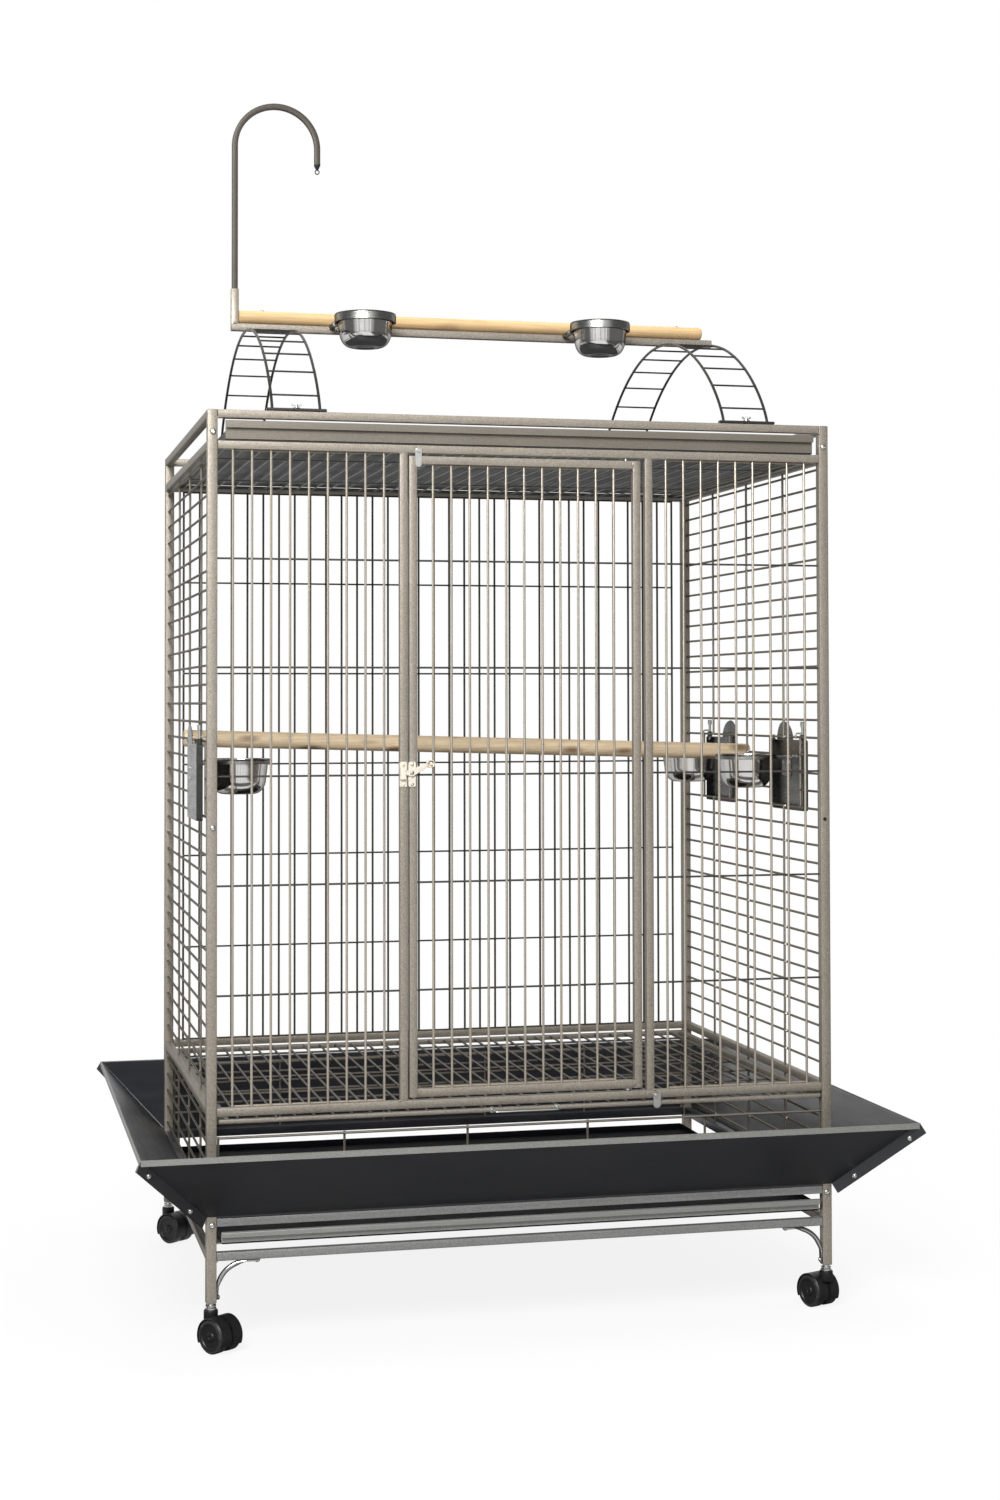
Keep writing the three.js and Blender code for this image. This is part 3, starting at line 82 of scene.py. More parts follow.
# Tubes and wires of the frame
RAIL = 13 * MM
STAND_RAIL_Z = 200 * MM
FLOOR_RAIL_Z = FLOOR_RAIL_LOW_Z + RAIL
ROOF_RAIL_LOW_Z = ROOF_RAIL_Z - RAIL
BAR_PITCH = 29.6 * MM
CROSS_LOWEST, CROSS_PITCH, CROSS_COUNT = 537.3, 168.5, 5  # in mm
CROSS_Z = [(CROSS_LOWEST + CROSS_PITCH * i) * MM for i in range(CROSS_COUNT)]
MESH_TOP_Z = 1372 * MM
MESH_UPRIGHT_Y = (-190.5 * MM, 0, 190.5 * MM)
ROW_INSET = 6 * MM
UPRIGHT_INSET = 10.3 * MM
CROSS_SETBACK = 3.9 * MM
WELD = 1 * MM


# Sizes and colours that a user may change


def length(name, description, default, low, high):
    """A length that a user may change, given in millimetres."""
    return FloatProperty(name=name, description=description, default=default * MM, min=low * MM,
                         max=high * MM, unit="LENGTH", precision=4)


def colour(name, description, default):
    return FloatVectorProperty(name=name, description=description, default=default,
                               subtype="COLOR", min=0, max=1)


class CageSizes(bpy.types.PropertyGroup):
    bar_wire: length("Bar wire", "Diameter of the bars and mesh wires", 4, 2, 6)
    cross_wire: length("Cross wire", "Diameter of the wires behind the bars", 3.2, 2, 4)
    tube_corner: length("Tube corner", "Radius of the corners of the square tubes", 1.6, 0.4, 3)
    weld_bead: length("Weld bead", "Diameter of the beads where wires cross", 5, 3, 7)
    bolt_head: length("Bolt head", "Diameter of the frame's bolt heads", 9.5, 5, 12)


class CageColours(bpy.types.PropertyGroup):
    coat: colour("Powder coat", "Hammered coat of the tubes and bars", (0.29, 0.26, 0.218))
    # On the cross wires this dark coat is painted shade behind the bars; the ladders are black.
    dark_coat_and_shade: colour("Dark coat", "Coat of the ladders and cross wires", (0.045, 0.042, 0.039))
    sheet: colour("Sheet coat", "Charcoal coat of the aprons and trays", (0.0095, 0.0105, 0.0145))
    zinc: colour("Zinc", "Bright zinc of bolts, nuts and stems", (0.62, 0.62, 0.6))
    cast: colour("Cast latch", "Pale cast metal of the door latch", (0.74, 0.69, 0.58))
    steel: colour("Bowl steel", "Polished stainless steel of the bowls", (0.72, 0.71, 0.69))
    pine: colour("Play perch pine", "Yellow pine of the perch on top", (0.68, 0.46, 0.23))
    pale_pine: colour("Inner perch pine", "Pale pine of the perch inside", (0.74, 0.58, 0.38))
    plastic: colour("Caster plastic", "Black plastic of the casters", (0.012, 0.012, 0.013))


class CageLight(bpy.types.PropertyGroup):
    lamps: FloatProperty(
        name="Lamps", description="Strength of all lamps together", default=1, min=0, max=4)
    fill: FloatProperty(
        name="Fill", description="Strength of the even light all round", default=0.22, min=0,
        max=2)


def sizes():
    return bpy.context.scene.cage_sizes


def colours():
    return bpy.context.scene.cage_colours


# Forms


class Shell:
    """Gathers the closed forms of one piece, placed by an optional matrix."""

    def __init__(self, matrix=None):
        self.matrix = matrix or Matrix.Identity(4)
        self.points = []
        self.faces = []

    def add(self, points, faces):
        first = len(self.points)
        self.points += [self.matrix @ Vector(point) for point in points]
        self.faces += [[first + corner for corner in face] for face in faces]

    def skin(self, rings, closed=False):
        """Joins rings of equal length, and caps the ends unless they close on each other."""
        count = len(rings[0])
        faces = []
        for row in range(len(rings) if closed else len(rings) - 1):
            near, far = row * count, (row + 1) % len(rings) * count
            for i in range(count):
                j = (i + 1) % count
                faces.append([near + i, near + j, far + j, far + i])
        if not closed:
            last = (len(rings) - 1) * count
            faces.append(list(range(count))[::-1])
            faces.append([last + i for i in range(count)])
        self.add([point for ring in rings for point in ring], faces)

    def sweep(self, path, section, side=None, closed=False):
        self.skin(swept_rings(path, section, side, closed), closed)

    def straight(self, start, end, outer, inner, chamfer, side=None):
        """A straight form; its end edges are broken where there is a chamfer."""
        start, end = Vector(start), Vector(end)
        along = (end - start).normalized()
        side = side or along.orthogonal()
        stops = [(start, inner), (start + chamfer * along, outer),
                 (end - chamfer * along, outer), (end, inner)]
        if not chamfer:
            stops = stops[1:3]
        self.skin([swept_rings([at, at + along], ring, side)[0] for at, ring in stops])

    def rod(self, start, end, diameter, sides=10, chamfer=0):
        self.straight(start, end, round_section(diameter, sides),
                      round_section(diameter - 2 * chamfer, sides), chamfer)

    def tube(self, start, end, width, height=None, side=None, corner=None, chamfer=0.6 * MM):
        """A square tube with rounded corners, by default with the frame's corners."""
        height = height or width
        corner = sizes().tube_corner if corner is None else corner
        along = Vector(end) - Vector(start)
        side = side or (Y if along.x else X)
        outer = tube_section(width, height, corner)
        shares = 1 - 2 * chamfer / width, 1 - 2 * chamfer / height
        inner = [(u * shares[0], v * shares[1]) for u, v in outer]
        self.straight(start, end, outer, inner, chamfer, side)

    def turned(self, profile, middle, axis=Z, segments=48, closed=False):
        """A form turned about an axis, from radii and heights along it."""
        axis = Vector(axis).normalized()
        side = X if abs(axis.x) < 0.5 else Y
        side = (side - side.dot(axis) * axis).normalized()
        across = axis.cross(side)
        rings = []
        for radius, height in profile:
            centre = Vector(middle) + height * axis
            ring = []
            for i in range(segments):
                angle = math.tau * i / segments
                ring.append(centre + radius * (math.cos(angle) * side + math.sin(angle) * across))
            rings.append(ring)
        self.skin(rings, closed)

    def plate(self, outline, origin, u_axis, v_axis, thickness, chamfer=0.3 * MM):
        """A flat plate with broken edges, from an outline that runs counterclockwise."""
        u_axis, v_axis = Vector(u_axis), Vector(v_axis)
        normal = u_axis.cross(v_axis)
        inner = inset(outline, chamfer)
        rings = []
        for ring, depth in ((inner, 0), (outline, chamfer), (outline, thickness - chamfer),
                            (inner, thickness)):
            rings.append(
                [Vector(origin) + u * u_axis + v * v_axis + depth * normal for u, v in ring])
        self.skin(rings)

    def bead(self, middle, size, along=Z, stretch=1):
        """A small round weld bead, stretched along one axis."""
        steps = [(math.sin(a), -math.cos(a)) for a in (0.0, 0.7, 1.57, 2.44, math.pi)]
        profile = [(size / 2 * r, size / 2 * stretch * h) for r, h in steps]
        self.turned(profile, middle, along, 8)

    def weld(self, middle, share=1, along=Z, stretch=1):
        """A weld bead, by its share of the usual size."""
        self.bead(middle, sizes().weld_bead * share, along, stretch)


def swept_rings(path, section, side=None, closed=False):
    """Rings of a section carried along a path without twist."""
    path = [Vector(point) for point in path]
    count = len(path)
    rings = []
    for i, point in enumerate(path):
        before = path[i - 1] if closed or i > 0 else point
        after = path[(i + 1) % count] if closed or i < count - 1 else point
        tangent = (after - before).normalized()
        side = tangent.orthogonal() if side is None else Vector(side)
        side = (side - side.dot(tangent) * tangent).normalized()
        across = tangent.cross(side)
        rings.append([point + u * side + v * across for u, v in section])
    return rings


def round_section(diameter, sides=10):
    turns = [math.tau * i / sides for i in range(sides)]
    return [(diameter / 2 * math.cos(turn), diameter / 2 * math.sin(turn)) for turn in turns]


def arc(centre, radius, start, end, steps):
    """Points on an arc, with its angles in degrees."""
    points = []
    for i in range(steps + 1):
        angle = math.radians(start + (end - start) * i / steps)
        points.append((centre[0] + radius * math.cos(angle), centre[1] + radius * math.sin(angle)))
    return points


def tube_section(width, height, corner, steps=2):
    points = []
    for turn, (u, v) in enumerate(((1, 1), (-1, 1), (-1, -1), (1, -1))):
        centre = (u * (width / 2 - corner), v * (height / 2 - corner))
        points += arc(centre, corner, 90 * turn, 90 * turn + 90, steps)
    return points


def rounded_rectangle(width, height, corner):
    return tube_section(width, height, corner, 4)


def spread(count, pitch):
    """Places in a row, even about the middle."""
    return [(i - (count - 1) / 2) * pitch for i in range(count)]


def in_mm(pairs):
    """Pairs of lengths that are given in millimetres."""
    return [(first * MM, second * MM) for first, second in pairs]


def curve(start, pull, end, steps):
    """Points on a smooth bend from start to end that is pulled towards a third point."""
    shares = [i / steps for i in range(steps + 1)]
    return [start.lerp(pull, share).lerp(pull.lerp(end, share), share) for share in shares]


def inset(outline, distance):
    """The outline moved inwards by a distance."""
    moved = []
    count = len(outline)
    for i in range(count):
        before, at, after = (Vector(outline[(i + step) % count]) for step in (-1, 0, 1))
        first, second = (at - before).normalized(), (after - at).normalized()
        inward = Vector((-first.y - second.y, first.x + second.x))
        if inward.length < 1e-6:
            inward = Vector((-first.y, first.x))
        inward.normalize()
        reach = distance / max(inward.dot(Vector((-first.y, first.x))), 0.5)
        moved.append(tuple(at + reach * inward))
    return moved


def folded(line, thickness, bend, steps=4):
    """The closed outline of a sheet that follows a line of corners, with rounded folds."""
    smooth = [Vector(line[0])]
    for before, at, after in zip(line, line[1:], line[2:]):
        before, at, after = Vector(before), Vector(at), Vector(after)
        reach_in, reach_out = (before - at).normalized(), (after - at).normalized()
        turn = math.pi - reach_in.angle(reach_out)
        back = bend * math.tan(turn / 2)
        smooth += curve(at + back * reach_in, at, at + back * reach_out, steps)
    smooth.append(Vector(line[-1]))
    left, right = [], []
    for i, point in enumerate(smooth):
        run = smooth[min(i + 1, len(smooth) - 1)] - smooth[max(i - 1, 0)]
        out = Vector((-run.y, run.x)).normalized() * thickness / 2
        left.append(tuple(point + out))
        right.append(tuple(point - out))
    return left + right[::-1]


def linked(name, data):
    """An object around its data, linked to the scene."""
    thing = bpy.data.objects.new(name, data)
    bpy.context.scene.collection.objects.link(thing)
    return thing


def made(name, shell, finish_name, stands_for=(), body="cage", slot=None, smooth=35):
    """Makes the mesh of a piece, gives it its finish and lets it ride on its body."""
    mesh = bpy.data.meshes.new(name)
    mesh.from_pydata(shell.points, [], shell.faces)
    work = bmesh.new()
    work.from_mesh(mesh)
    bmesh.ops.remove_doubles(work, verts=work.verts, dist=1e-6)
    bmesh.ops.recalc_face_normals(work, faces=work.faces)
    work.to_mesh(mesh)
    work.free()
    mesh.shade_smooth()
    mesh.set_sharp_from_angle(angle=math.radians(smooth))
    if not FINISHES:
        make_finishes()
    mesh.materials.append(FINISHES[finish_name])
    piece = linked(name, mesh)
    slot = slot or SLOTS[finish_name]
    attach(piece, body)
    if stands_for:
        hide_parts(*stands_for)


def joint(name):
    return next(row for row in frame["joints"] if row["name"] == name)


# Finishes


class Tree:
    """Short calls for building one node tree."""

    def __init__(self, tree):
        self.nodes, self.links = tree.nodes, tree.links

    def add(self, kind, inputs=None, **settings):
        node = self.nodes.new(kind)
        for key, value in settings.items():
            setattr(node, key, value)
        for key, value in (inputs or {}).items():
            self.feed(node.inputs[key], value)
        return node

    def feed(self, socket, value):
        if isinstance(value, bpy.types.NodeSocket):
            self.links.new(value, socket)
        else:
            socket.default_value = value

    def noise(self, vector, scale, detail=2, roughness=0.5):
        inputs = {"Vector": vector, "Scale": scale, "Detail": detail, "Roughness": roughness}
        return self.add("ShaderNodeTexNoise", inputs).outputs["Fac"]

    def ranged(self, value, low, high, to_low=0.0, to_high=1.0):
        inputs = {"Value": value, "From Min": low, "From Max": high, "To Min": to_low,
                  "To Max": to_high}
        return self.add("ShaderNodeMapRange", inputs).outputs["Result"]

    def math(self, operation, first, second):
        node = self.add("ShaderNodeMath", {0: first, 1: second}, operation=operation)
        return node.outputs["Value"]

    def plus(self, first, second):
        return self.math("ADD", first, second)

    def times(self, first, second):
        return self.math("MULTIPLY", first, second)

    def larger(self, first, second):
        return self.math("MAXIMUM", first, second)

    def vectors(self, operation, first, second):
        node = self.add("ShaderNodeVectorMath", {0: first, 1: second}, operation=operation)
        return node.outputs["Vector"]

    def stretched(self, vector, scale):
        return self.vectors("MULTIPLY", vector, scale)

    def axes(self, vector):
        return self.add("ShaderNodeSeparateXYZ", {"Vector": vector}).outputs

    def mix(self, factor, first, second, blend="MIX"):
        """Mixes two colours."""
        node = self.add("ShaderNodeMix", {0: factor, 6: first, 7: second}, data_type="RGBA",
                        blend_type=blend)
        return node.outputs[2]

    def mix_values(self, factor, first, second):
        node = self.add("ShaderNodeMix", {0: factor, 2: first, 3: second}, data_type="FLOAT")
        return node.outputs[0]

    def shaded(self, colour, light):
        """A colour times a grey."""
        grey = self.add("ShaderNodeCombineColor", {0: light, 1: light, 2: light})
        return self.mix(1.0, colour, grey.outputs["Color"], "MULTIPLY")

    def rays(self):
        """The kinds of rays, and whether a ray is a mirrored or transmitted one."""
        path = self.add("ShaderNodeLightPath").outputs
        return path, self.larger(path["Is Glossy Ray"], path["Is Transmission Ray"])


class Surface(Tree):
    """A node group that gives a surface's colour, roughness and height."""

    def __init__(self, name, colour_labels, value_labels, vector_labels=()):
        self.group = bpy.data.node_groups.new(name, "ShaderNodeTree")
        inputs = {"Vector": ("Vector", *vector_labels), "Color": colour_labels,
                  "Float": value_labels}
        outputs = {"Color": ("Colour",), "Float": ("Roughness", "Height")}
        for way, sockets in (("INPUT", inputs), ("OUTPUT", outputs)):
            for kind, labels in sockets.items():
                for label in labels:
                    self.group.interface.new_socket(
                        label, in_out=way, socket_type=f"NodeSocket{kind}")
        super().__init__(self.group)
        self.given = self.add("NodeGroupInput").outputs
        self.place = self.given["Vector"]
        self.result = self.add("NodeGroupOutput").inputs

    def finished(self, colour, gloss, height):
        """Ends the group; gloss is what comes on top of the given roughness."""
        self.feed(self.result["Colour"], colour)
        self.feed(self.result["Roughness"], self.plus(self.given["Roughness"], gloss))
        self.feed(self.result["Height"], height)
        return self.group


def hammered_group():
    """Powder coat with fine hammered speckle, darker in its pits, and slightly uneven gloss."""
    tree = Surface("hammered coat", ["Colour"], ["Scale", "Contrast", "Roughness"])
    given, place = tree.given, tree.place
    cells = tree.add("ShaderNodeTexVoronoi", {"Vector": place, "Scale": given["Scale"]},
                     feature="SMOOTH_F1").outputs["Distance"]
    speckle = tree.noise(place, tree.times(given["Scale"], 1.7), 3)
    drift = tree.noise(place, 9.0, 3)
    pits = tree.ranged(cells, 0.05, 0.6)
    light = tree.plus(tree.times(pits, 0.55), tree.times(speckle, 0.9))
    light = tree.times(tree.math("SUBTRACT", light, 0.72), given["Contrast"])
    light = tree.plus(light, tree.ranged(drift, 0.3, 0.7, 0.94, 1.06))
    gloss = tree.ranged(speckle, 0.3, 0.7, -0.07, 0.09)
    height = tree.plus(pits, tree.times(speckle, 0.5))
    return tree.finished(tree.shaded(given["Colour"], light), gloss, height)


def sheet_group():
    """Satin powder coat on sheet: fine orange peel, rub marks and a little dust."""
    tree = Surface("sheet coat", ["Colour", "Dust colour"], ["Dust", "Roughness"])
    given, place = tree.given, tree.place
    peel = tree.noise(place, 900.0, 2)
    clouds = tree.noise(place, 5.0, 5, 0.62)
    rubs = tree.noise(tree.stretched(place, (12.0, 12.0, 90.0)), 1.0, 5, 0.7)
    dust = tree.times(tree.ranged(clouds, 0.42, 0.78), given["Dust"])
    colour = tree.mix(dust, given["Colour"], given["Dust colour"])
    colour = tree.shaded(colour, tree.ranged(peel, 0.3, 0.7, 0.93, 1.07))
    gloss = tree.plus(tree.ranged(rubs, 0.35, 0.7, -0.05, 0.08), tree.times(dust, 0.25))
    return tree.finished(colour, gloss, peel)


def bare_metal_group():
    """Plated or polished metal: soft clouding, fine handling scratches and dull patches."""
    tree = Surface("bare metal", ["Colour"], ["Clouding", "Roughness"], ["Stretch"])
    given, place = tree.given, tree.place
    lines = tree.noise(tree.stretched(place, given["Stretch"]), 1.0, 4, 0.65)
    clouds = tree.noise(place, 60.0, 4, 0.6)
    dark = tree.times(tree.ranged(clouds, 0.35, 0.75), given["Clouding"])
    worn = tree.mix(0.55, given["Colour"], (0.12, 0.12, 0.12, 1))
    gloss = tree.plus(tree.ranged(lines, 0.4, 0.7, -0.03, 0.09), tree.times(dark, 0.2))
    return tree.finished(tree.mix(dark, given["Colour"], worn), gloss, lines)


def pine_group():
    """Turned pine along X: long growth lines, soft bands, knots and worn grime."""
    tree = Surface("turned pine", ["Light", "Dark"], ["Knots", "Grime", "Roughness"])
    given, place = tree.given, tree.place
    wander = tree.noise(tree.stretched(place, (3.0, 20.0, 20.0)), 1.0, 3)
    shift = tree.add("ShaderNodeCombineXYZ", {1: tree.times(wander, 5.0),
                                              2: tree.times(wander, 3.0)})
    bent = tree.vectors("ADD", tree.stretched(place, (7.0, 260.0, 260.0)),
                        shift.outputs["Vector"])
    bands = tree.noise(bent, 1.0, 3, 0.55)
    pores = tree.noise(tree.stretched(place, (60.0, 1500.0, 1500.0)), 1.0, 2)
    knots = tree.add("ShaderNodeTexVoronoi", {
        "Vector": tree.stretched(place, (9.0, 26.0, 26.0)), "Scale": 1.0}).outputs["Distance"]
    knot = tree.times(tree.ranged(knots, 0.24, 0.1), given["Knots"])
    dirt = tree.noise(place, 14.0, 5, 0.65)
    colour = tree.mix(tree.ranged(bands, 0.38, 0.66), given["Light"], given["Dark"])
    colour = tree.mix(tree.ranged(pores, 0.55, 0.8, 0.0, 0.35), colour, given["Dark"])
    colour = tree.mix(knot, colour, (0.13, 0.06, 0.025, 1))
    grime = tree.times(tree.ranged(dirt, 0.5, 0.75), given["Grime"])
    colour = tree.mix(grime, colour, (0.16, 0.1, 0.055, 1))
    gloss = tree.ranged(bands, 0.3, 0.7, -0.08, 0.08)
    return tree.finished(colour, gloss, tree.plus(bands, tree.times(pores, 0.5)))


def moulded_group():
    """Moulded plastic with a fine spark-eroded texture and pale scuffs."""
    tree = Surface("moulded plastic", ["Colour", "Scuff colour"], ["Scuffs", "Roughness"])
    given, place = tree.given, tree.place
    grain = tree.noise(place, 2200.0, 2)
    scuffs = tree.noise(tree.stretched(place, (70.0, 70.0, 160.0)), 1.0, 6, 0.75)
    mask = tree.times(tree.ranged(scuffs, 0.56, 0.74), given["Scuffs"])
    gloss = tree.plus(tree.ranged(grain, 0.3, 0.7, -0.05, 0.05), tree.times(mask, 0.2))
    return tree.finished(tree.mix(mask, given["Colour"], given["Scuff colour"]), gloss, grain)


FINISHES = {}

# The frame's slot of each finish, unless a piece names another
SLOTS = {finish_name: slot for slot, names in {
    "frame_powder_coat": ("frame", "stand", "hook", "bars", "lit_front_bars", "shaded_back_bars", "cross",
                          "brace", "pan"),
    "wire": ("grate",),
    "ladder_wire": ("ladder",),
    "apron_sheet": ("sheet", "lip", "tray", "shaded_roof_pan", "shaded_tray_front"),
    "zinc": ("zinc", "band"),
    "pale_cast": ("cast",),
    "bowl_steel": ("bowl",),
    "pine": ("pine",),
    "pale_pine": ("pale_pine",),
    "black_plastic": ("plastic", "tread"),
}.items() for finish_name in names}


def finish(key, name, group, values, metallic=0.0, bump=0.3, depth=0.3, specular=0.5, edge=1.0):
    """Keeps a material around a surface group, whose inputs take the values in their order.
    The bump's depth is in millimetres, and the edge is the tint of the mirror's rim."""
    material = bpy.data.materials.new(name)
    material.use_nodes = True
    tree = Tree(material.node_tree)
    place = tree.add("ShaderNodeTexCoord").outputs["Object"]
    surface = tree.add("ShaderNodeGroup", {"Vector": place}, node_tree=group)
    for socket, value in zip(list(surface.inputs)[1:], values, strict=True):
        tree.feed(socket, value)
    relief = tree.add("ShaderNodeBump", {"Strength": bump, "Distance": depth * MM,
                                         "Height": surface.outputs["Height"]})
    shader = material.node_tree.nodes["Principled BSDF"].inputs
    for label, value in {
            "Base Color": surface.outputs["Colour"], "Roughness": surface.outputs["Roughness"],
            "Normal": relief.outputs["Normal"], "Metallic": metallic,
            "Specular IOR Level": specular, "Specular Tint": (edge, edge, edge, 1)}.items():
        tree.feed(shader[label], value)
    FINISHES[key] = material


def tinted(colour, factor=1):
    return (*(min(channel * factor, 1) for channel in colour), 1)


def make_finishes():
    """Makes all materials, once the first piece asks for one."""
    tones = colours()
    coat, dark_coat_and_shade = tones.coat, tones.dark_coat_and_shade

    # Hammered coats, by colour, scale and contrast of the speckle, and roughness
    group = hammered_group()
    wire = {"bump": 0.03, "depth": 0.05, "edge": 0.05}
    dark = {"bump": 0.3, "depth": 0.15}
    for key, name, values, shader in (
            ("frame", "hammered frame coat", (tinted(coat), 480.0, 0.75, 0.38),
             {"metallic": 0.45, "bump": 0.45, "depth": 0.25, "edge": 0.2}),
            # The front and back stand rails and the guard rails get a cooler grey copy of the
            # frame coat, as painted shade low on the stand.
            ("stand", "shaded stand coat", ((0.25, 0.248, 0.245, 1), 480.0, 0.6, 0.36),
             {"metallic": 0.5, "bump": 0.4, "depth": 0.25, "edge": 0.2}),
            # The hook tube's coat is the frame coat darkened to a quarter, as painted shade.
            ("hook", "shaded hook tube coat", (tinted(coat, 0.24), 620.0, 0.35, 0.45),
             {"metallic": 0.3, "bump": 0.4, "depth": 0.2, "specular": 0.3, "edge": 0.5}),
            # The bar coats are lit and shaded copies of the frame coat: the front bars' lighter
            # copy is a painted highlight, and the back bars' dark copy is painted shade.
            ("bars", "bar wire coat", (tinted(coat, 1.2), 700.0, 0.2, 0.3),
             {"metallic": 0.8, **wire}),
            ("lit_front_bars", "lit front bar coat", (tinted(coat, 1.75), 700.0, 0.2, 0.3),
             {"metallic": 0.7, **wire}),
            ("shaded_back_bars", "shaded back bar coat", (tinted(coat, 0.35), 700.0, 0.2, 0.3),
             {"metallic": 0.7, **wire}),
            # The grate's wires get the frame coat darkened, as painted shade under the cage; the
            # grate's rim keeps the frame coat.
            ("grate", "shaded grate wire coat", (tinted(coat, 0.42), 700.0, 0.5, 0.42),
             {"metallic": 0.3, "bump": 0.1, "depth": 0.1, "edge": 0.3}),
            # The cross wires get the near-black dark coat, as painted shade behind the bars.
            ("cross", "shaded cross wire coat", (tinted(dark_coat_and_shade, 1.3), 700.0, 0.6, 0.36),
             {"metallic": 0.5, **dark}),
            ("ladder", "ladder coat", (tinted(dark_coat_and_shade, 0.7), 700.0, 0.6, 0.36),
             {"metallic": 0.4, **dark}),
            ("brace", "bright brace coat", ((0.42, 0.42, 0.41, 1), 620.0, 0.4, 0.18),
             {"metallic": 1.0, "bump": 0.15, "depth": 0.1, "edge": 0.3}),
            # A light grey coat that is a painted highlight where it lies over the charcoal aprons'
            # lips and seams; the debris tray's front and the roof grille's wires wear it as their
            # coat.
            ("lip", "lip highlight and wire coat", ((0.27, 0.272, 0.255, 1), 620.0, 0.6, 0.38),
             {"metallic": 0.4, **dark, "edge": 0.5}),
            # The top tray's front gets the frame coat darkened, as painted shade on a face that
            # the light from above misses.
            ("shaded_tray_front", "shaded tray front coat", (tinted(coat, 0.66), 620.0, 0.5, 0.36),
             {"metallic": 0.45, **dark, "edge": 0.5})):
        finish(key, name, group, values, **shader)

    # Sheet coats, by colour, colour and share of dust, and roughness
    group = sheet_group()
    for key, name, values, shader in (
            ("sheet", "charcoal sheet coat", (tinted(tones.sheet), tinted(coat, 0.5), 0.05, 0.33),
             {"bump": 0.1, "specular": 0.75}),
            ("pan", "feeder pan coat", ((0.036, 0.037, 0.034, 1), tinted(coat), 0.04, 0.28),
             {"metallic": 0.25, "bump": 0.12}),
            # The trays' pans get near-black copies of the sheet coat, much darker than their
            # fronts, as painted shade under the top tray and below the grate.
            ("tray", "shaded black tray coat", (tinted(tones.sheet, 0.4), tinted(coat, 0.2), 0.05, 0.6),
             {"bump": 0.12, "specular": 0.05}),
            ("shaded_roof_pan", "shaded top tray coat", ((0.028, 0.028, 0.03, 1), tinted(coat, 0.5), 0.1, 0.5),
             {"bump": 0.12, "specular": 0.25})):
        finish(key, name, group, values, depth=0.1, **shader)

    # Bare metals, by stretch of the scratches, colour, share of clouding, and roughness
    group = bare_metal_group()
    scratch = (40.0, 40.0, 900.0)
    for key, name, values, shader in (
            ("zinc", "bright zinc", (scratch, tinted(tones.zinc), 0.35, 0.28),
             {"metallic": 1.0, "bump": 0.1, "depth": 0.05}),
            ("cast", "pale cast metal", ((300.0, 300.0, 300.0), tinted(tones.cast), 0.15, 0.38),
             {"metallic": 0.15, "bump": 0.3, "depth": 0.1}),
            ("bowl", "polished bowl steel", (scratch, tinted(tones.steel), 0.08, 0.1),
             {"metallic": 1.0, "bump": 0.04, "depth": 0.05, "edge": 0.15}),
            ("band", "dark bowl band", (scratch, (0.42, 0.42, 0.4, 1), 0.2, 0.26),
             {"metallic": 1.0, "bump": 0.05, "depth": 0.05, "edge": 0.2})):
        finish(key, name, group, values, **shader)

    # Pines, by tone, shares of knots and grime, and bump
    group = pine_group()
    for key, name, tone, knots, grime, bump in (
            ("pine", "yellow pine", tones.pine, 0.3, 0.1, 0.25),
            ("pale_pine", "pale pine", tones.pale_pine, 0.8, 0.2, 0.3)):
        finish(key, name, group, (tinted(tone), tinted(tone, 0.78), knots, grime, 0.6), bump=bump)

    # Plastics, by colour, colour and share of scuffs, and roughness
    group = moulded_group()
    finish("plastic", "black moulded plastic", group,
           (tinted(tones.plastic), (0.05, 0.05, 0.05, 1), 0.3, 0.42),
           bump=0.12, depth=0.05, specular=0.35)
    # The tread is a lighter copy of the caster plastic with pale scuffs: partly dust and wear,
    # partly a painted highlight along the wheel's edge.
    finish("tread", "dusty wheel tread and highlight", group,
           (tinted(tones.plastic, 2.2), (0.16, 0.15, 0.14, 1), 0.8, 0.55), bump=0.2, depth=0.08)


# Frame


def mesh_row_z(row):
    return MESH_TOP_Z - row * BAR_PITCH


FEEDER_ROW, FEEDER_ROWS = 15, 4
FEEDER_WIDTH = 150 * MM
HINGE_INSET = 2.9 * MM
HINGE_OUT = 2 * MM
HINGE_EYE_HEIGHT = 6 * MM
HINGE_PIN = 3 * MM
HINGE_PIN_REACH = 11 * MM
RUNNER_SHEET = 2 * MM
RUNNER_REACH = 40 * MM  # from the cage's outer face to the runner's edge
RUNNER_TOPS_Z = (ROOF_RAIL_Z, 342.7 * MM, 160.1 * MM)


class FeederOpening:
    """The opening in a side panel that one feeder closes."""

    def __init__(self, where):
        self.where = where
        hinge = joint(f"feeder_{where}_hinge")
        self.side = 1 if hinge["pos_m"][0] > 0 else -1
        self.axis_y = hinge["pos_m"][1]
        # The pan lies on this side of its hinge along Y when it is shut.
        self.pan = -1 if hinge["axis"][2] * self.side > 0 else 1
        edge = self.axis_y + self.pan * HINGE_INSET
        self.low_y, self.high_y = sorted((edge, edge + self.pan * FEEDER_WIDTH))
        self.low_z = mesh_row_z(FEEDER_ROW + FEEDER_ROWS)
        self.high_z = mesh_row_z(FEEDER_ROW)


FEEDERS = [FeederOpening(where) for where in ("left", "right_front", "right_back")]


def side_panel(side):
    """One side of the cage, down to the low rail between its posts."""
    sign = SIDES[side]
    openings = [feeder for feeder in FEEDERS if feeder.side == sign]
    name = f"side_panel_{side}"
    made(f"{name}_frame", side_frame(sign), "frame", [name])
    made(f"{name}_mesh", side_mesh(sign, openings), "bars")
    made(f"{name}_hinge_eyes", hinge_eyes(sign, openings), "frame")


